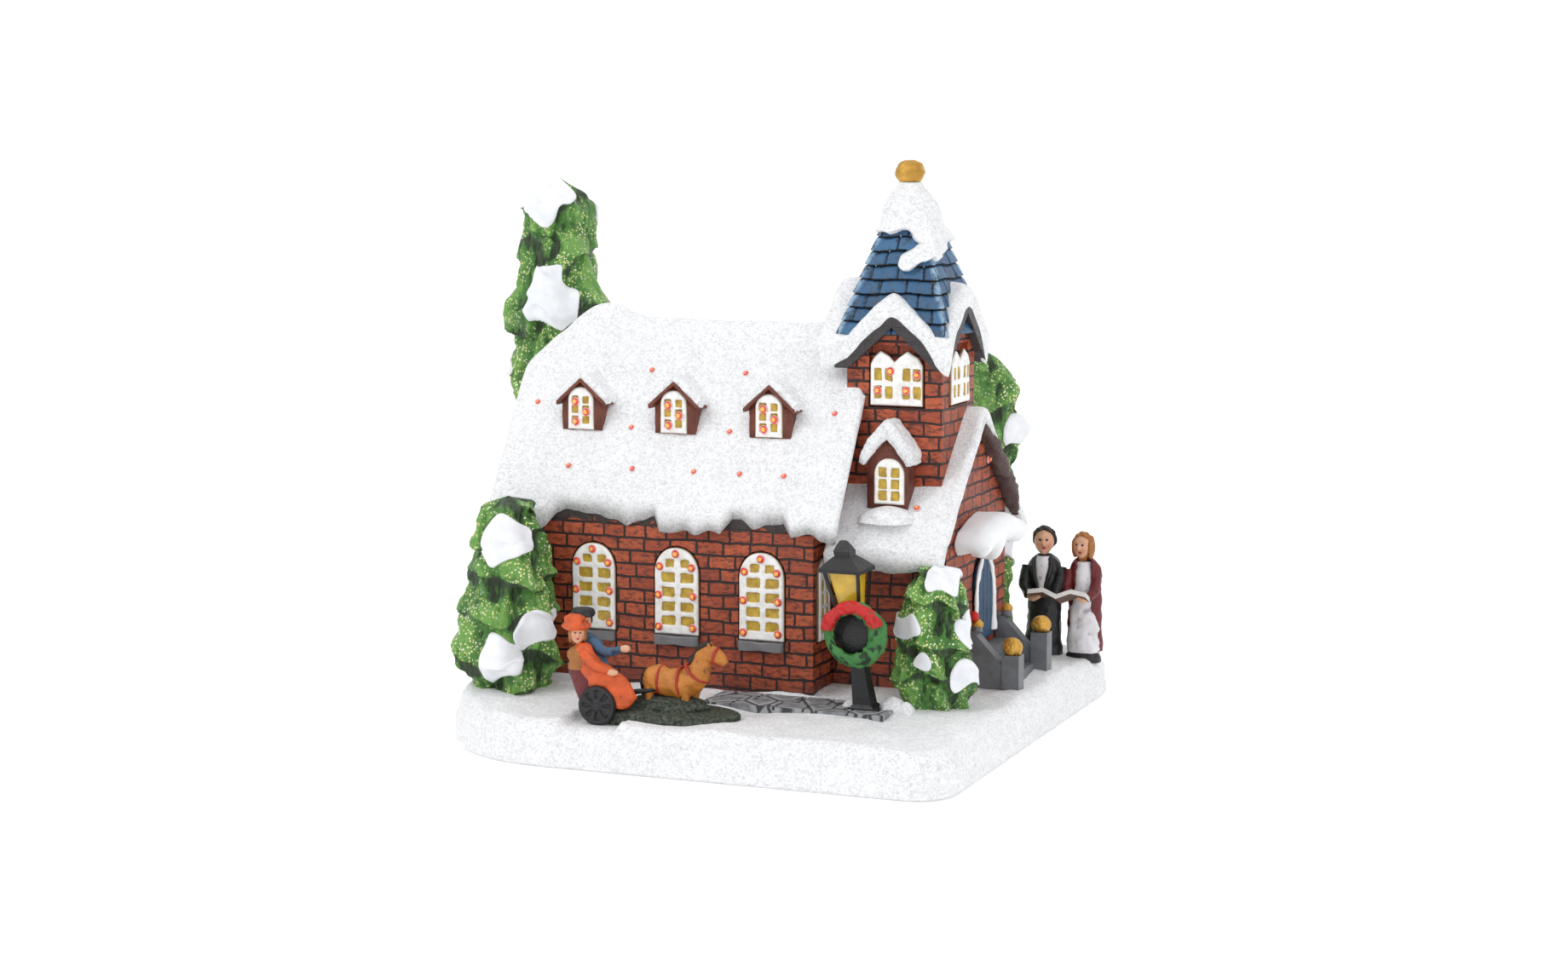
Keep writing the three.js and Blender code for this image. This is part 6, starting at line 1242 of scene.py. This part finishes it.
def head(name, x, y, z, size, toward, hair, fall):
    """Head with nose, brows, eyes and singing mouth that looks along an angle, and hair that lies over it; the hair
    reaches down by fall heads at the sides and the back."""
    turn, a = np.meshgrid(np.linspace(0.06, np.pi - 0.06, 64), bearings(80), indexing="ij")
    side, front, up = np.sin(turn) * np.sin(a), np.sin(turn) * np.cos(a), -np.cos(turn)
    ahead = front > 0

    def spot(at_side, at_up, wide, tall):
        return np.where(ahead, np.exp(-((np.abs(side) - at_side) / wide) ** 2 - ((up - at_up) / tall) ** 2), 0)

    eye, mouth, cheek = spot(0.36, 0.16, 0.17, 0.1), spot(0.0, -0.5, 0.22, 0.13), spot(0.5, -0.22, 0.25, 0.2)
    nose, brow, chin = spot(0, -0.08, 0.15, 0.2), spot(0.34, 0.4, 0.22, 0.08), spot(0, -0.86, 0.3, 0.16)
    grow = 1 + 0.34 * nose - 0.08 * eye - 0.12 * mouth + 0.07 * cheek + 0.06 * brow + 0.1 * chin

    def turned(scale, sideways, ahead, upward):
        axes = np.array([[-np.sin(toward), np.cos(toward), 0], [np.cos(toward), np.sin(toward), 0], UP])
        return np.array([x, y, z]) + size * scale[..., None] * (xyz(sideways, ahead, upward) @ axes)

    skin(f"{name}_face", turned(grow, side * 0.86, front * 0.95, up * 1.16), FACE,
         facts={"eye": eye, "mouth": mouth, "cheek": cheek})
    spots = xyz(side, front, up) * size
    shell = np.maximum(ease(-front + 0.75 * up + 0.1 * lumps(spots, 1.0, 3), -0.12, 0.12),
                       ease(np.abs(side), 0.72, 0.86) * ease(up, -0.9, -0.5) * (fall > 0))
    low = np.where(up < 0, 1 + fall, 1.0)
    shag = 1 + 0.1 * lumps(spots * np.array([1.6, 1.6, 0.5]), 0.9, 5)
    cover = (0.78 + 0.4 * shell) * shag
    skin(f"{name}_hair", turned(cover, side * 0.92, front * 0.95 - 0.06, up * 1.12 * low), hair,
         facts={"relief": unit(0.6 + 0.5 * lumps(spots, 0.7, 2))})


head("lady", -18.9, -52.8, 28.2, 1.9, radians(-62), GINGER, 0.5)
head("gentleman", -18.7, -50.2, 30.4, 1.9, radians(-52), HAIR, 0.0)
form("lady_hat", [(29.0, 2.2, 2.0, -19.1, -52.7), (29.8, 3.1, 2.6, -19.2, -52.7), (30.8, 2.5, 2.2, -19.5, -52.6),
                  (31.8, 2.3, 2.0, -19.6, -52.5), (32.4, 0.8, 0.8, -19.5, -52.5)], ORANGE, 0.5, 1.3, 9)
form("gentleman_hat", [(31.6, 2.4, 2.2, -18.8, -50.0), (32.2, 2.6, 2.4, -18.9, -50.0), (33.2, 2.1, 1.9, -18.9, -49.9),
                       (33.4, 0.8, 0.8, -18.9, -49.9)], BLACK, 0.35, 1.4, 10)


# Horse

def astride(*points):
    """Path over the middle of the horse, from pairs of x and height."""
    return [(x, HORSE_Y, z) for x, z in points]


form("turf_mound", [(z, wide, deep, -1.2, HORSE_Y) for z, wide, deep in [
    (9.0, 17.9, 8.7), (10.8, 18.0, 8.7), (11.8, 17.0, 8.0), (12.2, 9, 4), (12.25, 1, 1)]],
     TURF, 0.25, 2.2, 4, 120, 60, node="grass_mound")
rod("horse_body", astride((-4.9, 17.6), (-3.2, 18.4), (0.6, 17.8), (4.2, 17.9), (6.6, 19.4), (7.9, 22.2), (9.0, 24.3),
                          (10.8, 24.5), (12.8, 23.5), (13.6, 22.6)),
    [1.6, 2.9, 2.9, 3.1, 2.9, 2.2, 1.9, 1.7, 1.25, 0.8], OCHRE, 0.34, 1.9, 3, 36, 130, node="horse")
form("horse_turf", [(11.0, 9.6, 5.0, 0.8, -47.4), (12.6, 9.2, 4.4, 0.8, -47.3), (13.8, 8.2, 3.4, 0.8, -47.2),
                    (14.6, 6.6, 2.2, 0.8, -47), (14.8, 2, 0.8, 0.8, -47)], TURF, 1.0, 1.5, 8, 150, 60)
for k, (x, y) in enumerate([(-3.6, -48.4), (-3.2, -45.8), (5.0, -48.4), (5.6, -45.8)]):
    knee = x + 0.6 * (k % 2) - 0.2
    rod(f"horse_leg_{k + 1}", [(x, y, 18.6), (knee, y, 15.6), (x - 0.1, y, 13.4), (x + 0.1, y, 12.1)],
        [1.7, 1.05, 0.9, 1.15], OCHRE, 0.15, 1.2, k)
rod("horse_mane", astride((5.4, 22.6), (7.2, 24.6), (8.8, 26.4), (10.4, 26.4)),
    [0.8, 1.0, 0.9, 0.4], HAIR, 0.3, 0.9, 5)
rod("horse_tail", astride((-4.8, 20.2), (-5.6, 18.0), (-5.4, 15.0), (-5.0, 13.0)),
    [0.6, 1.0, 0.9, 0.4], HAIR, 0.25, 0.9, 6)
for k, off in enumerate((-0.65, 0.65)):
    y = HORSE_Y + off
    rod(f"horse_ear_{k + 1}", [(10.0, y, 26.0), (9.9, y, 26.7), (9.8, HORSE_Y + off * 1.2, 27.0)],
        [0.5, 0.35, 0.12], OCHRE, 0.0, 1)
for k, (x, z, tilt, radius) in enumerate([(-1.4, 18.1, 0.0, 3.0), (3.4, 18.0, 0.1, 3.2), (6.9, 20.2, 0.9, 2.9),
                                          (11.4, 24.2, -0.2, 1.75)]):
    ring = np.linspace(0, 2 * np.pi, 40)
    rise = radius * np.sin(ring)
    path = xyz(x + rise * np.sin(-tilt), HORSE_Y + radius * np.cos(ring), z + rise * np.cos(tilt))
    skin(f"harness_strap_{k + 1}", tube(path[:-1].tolist(), [0.32] * 39, 10, 80), HARNESS)


# Singers

form("man_singer_coat", [(9.0, 4.9, 3.2, 54.4, 54.2), (12, 4.6, 3.3, 54.4, 54.2), (20, 4.2, 3.2, 54.6, 54.1),
                         (27, 4.3, 3.1, 54.6, 54), (31.5, 4.2, 2.9, 54.6, 54), (33.6, 3.2, 2.4, 54.6, 54),
                         (34.8, 1.6, 1.5, 54.6, 54)],
     BLACK, 0.35, 2.4, 12, 60, 80, node="singer_man")
form("man_singer_shirt", [(25.8, 0.7, 0.7, 54.8, 51.2), (29.0, 1.3, 0.8, 54.8, 51.2), (32.2, 1.7, 0.9, 54.7, 51.5),
                          (34.4, 1.5, 1.3, 54.6, 52.8)], WHITE, 0.12, 1.4, 13)
for k, (side, x) in enumerate([(-1, 50.6), (1, 58.4)]):
    wrist = x + (1.4 if side < 0 else 0.3)
    rod(f"man_singer_arm_{k + 1}", [(x, 53.8, 31.6), (x + side * 0.2, 52.4, 27.4), (wrist, 49.4, 25.2)],
        [1.7, 1.7, 1.2], BLACK, 0.25, 1.6, k)
    rod(f"man_singer_lapel_{k + 1}", [(54.7 + side * out, y, z) for out, y, z in [
        (0.6, 50.8, 26.2), (1.9, 50.9, 30.2), (2.3, 51.6, 33.2)]], [0.35, 0.6, 0.5], BLACK, 0.08, 1)
rod("man_singer_hand", [(52.4, 49.6, 25.0), (53.6, 48.4, 25.0), (55.2, 47.6, 25.4)], [1.0, 1.1, 0.6], FLESH, 0.1)
head("man_singer", 54.5, 53.6, 38.0, 2.75, radians(-78), HAIR, 0.0)
form("woman_singer_shoes", [(9.0, 4.3, 3.0, 64.6, 54.0), (10.6, 4.2, 2.9, 64.6, 54.0), (12.0, 3.2, 2.4, 64.6, 54.1)],
     BLACK, 0.25, 1.6, 15)
form("woman_singer_dress", [(11.4, 4.0, 3.2, 64.6, 54.4), (13, 4.2, 3.3, 64.5, 54.4), (18, 3.6, 3.1, 64.5, 54.4),
                            (24, 3.0, 2.7, 64.4, 54.4), (30, 2.8, 2.4, 64.4, 54.4), (33.4, 1.8, 1.7, 64.4, 54.4)],
     WHITE, 0.35, 2.0, 14, 60, 80, node="singer_woman")
coat = loft([(11.6, 4.3, 3.3, 64.6, 55.2), (18, 4.1, 3.2, 64.6, 55.1), (25, 4.0, 3.0, 64.5, 54.9),
             (31, 4.0, 2.8, 64.5, 54.6), (33.4, 3.0, 2.2, 64.4, 54.5), (34.6, 1.4, 1.4, 64.4, 54.5)], 80, 80)
opening = ease(coat[..., 1], 53.4, 52.2) * ease(np.abs(coat[..., 0] - 64.8), 2.0, 1.3)
coat[..., 1] += 3.0 * opening
skin("woman_singer_coat", puff(coat, 0.3, 2.0, 15), MAROON,
     facts={"relief": unit(0.7 + 0.5 * lumps(coat, 1.2, 15))})
for k, (side, x) in enumerate([(-1, 60.9), (1, 67.6)]):
    rod(f"woman_singer_arm_{k + 1}", [(x, 54.2, 31.0), (x + side * 0.2, 52.6, 27.2), (x - side * 0.8, 49.6, 25.2)],
        [1.5, 1.4, 1.0], MAROON, 0.2, 1.5, k)
rod("woman_singer_hand", [(66.2, 49.4, 25.0), (65.6, 48.2, 25.2), (64.6, 47.4, 25.8)], [0.8, 0.9, 0.5], FLESH, 0.08)
head("woman_singer", 64.1, 54.0, 37.2, 2.55, radians(-98), GINGER, 0.75)


# Floor, light and camera

def floor():
    """Pale ground that rises softly behind: depth and height along a quarter circle."""
    turn = np.linspace(0, np.pi / 2, 16)
    line = np.concatenate([[[-4000.0, 0.0]], np.stack([900 + 500 * np.sin(turn), 500 - 500 * np.cos(turn)], 1),
                           [[1400.0, 2200.0]]])
    x, k = np.meshgrid(np.linspace(-3000, 3000, 3), np.arange(len(line)), indexing="ij")
    points = xyz(x, line[k, 0], line[k, 1]).reshape(-1, 3) / 1000
    mesh = bpy.data.meshes.new("pale_floor")
    mesh.from_pydata(points.tolist(), [], quads(3, len(line), False).tolist())
    mesh.shade_smooth()
    mesh.materials.append(material("pale_paper", lambda r: {"Base Color": (0.95, 0.95, 0.95)}, Roughness=0.9,
                                   Emission_Color=(1.0, 1.0, 1.0, 1.0), Emission_Strength=0.22))
    made = bpy.data.objects.new("pale_floor", mesh)
    bpy.context.scene.collection.objects.link(made)


def light(name, place, size, power):
    """Square soft light that looks at the house."""
    lamp = bpy.data.lights.new(name, "AREA")
    lamp.size = size
    lamp.energy = power
    made = bpy.data.objects.new(name, lamp)
    made.location = place
    made.rotation_euler = (Vector((0, 0, 0.05)) - Vector(place)).to_track_quat("-Z", "Y").to_euler()
    bpy.context.scene.collection.objects.link(made)


floor()
light("key_light", (-0.75, -0.85, 1.15), 0.9, 7.4)
light("fill_light", (1.05, -0.75, 0.7), 1.1, 3.7)
light("top_light", (0.1, 0.2, 1.5), 1.2, 3.8)
world = bpy.data.worlds.new("studio_air")
world.use_nodes = True
world.node_tree.nodes["Background"].inputs["Color"].default_value = (0.98, 0.985, 1.0, 1)
world.node_tree.nodes["Background"].inputs["Strength"].default_value = 0.66
bpy.context.scene.world = world
bpy.context.scene.view_settings.view_transform = "Standard"

camera = bpy.data.cameras.new("camera")
camera.lens = 64.565
camera.sensor_width = 36
camera.clip_end = 20
viewer = bpy.data.objects.new("camera", camera)
viewer.location = (0.2485 + SHIFT[0] / 1000, -0.5948 + SHIFT[1] / 1000, 0.1378)
viewer.rotation_euler = (radians(82.8), 0, VIEW)
bpy.context.scene.collection.objects.link(viewer)
bpy.context.scene.camera = viewer
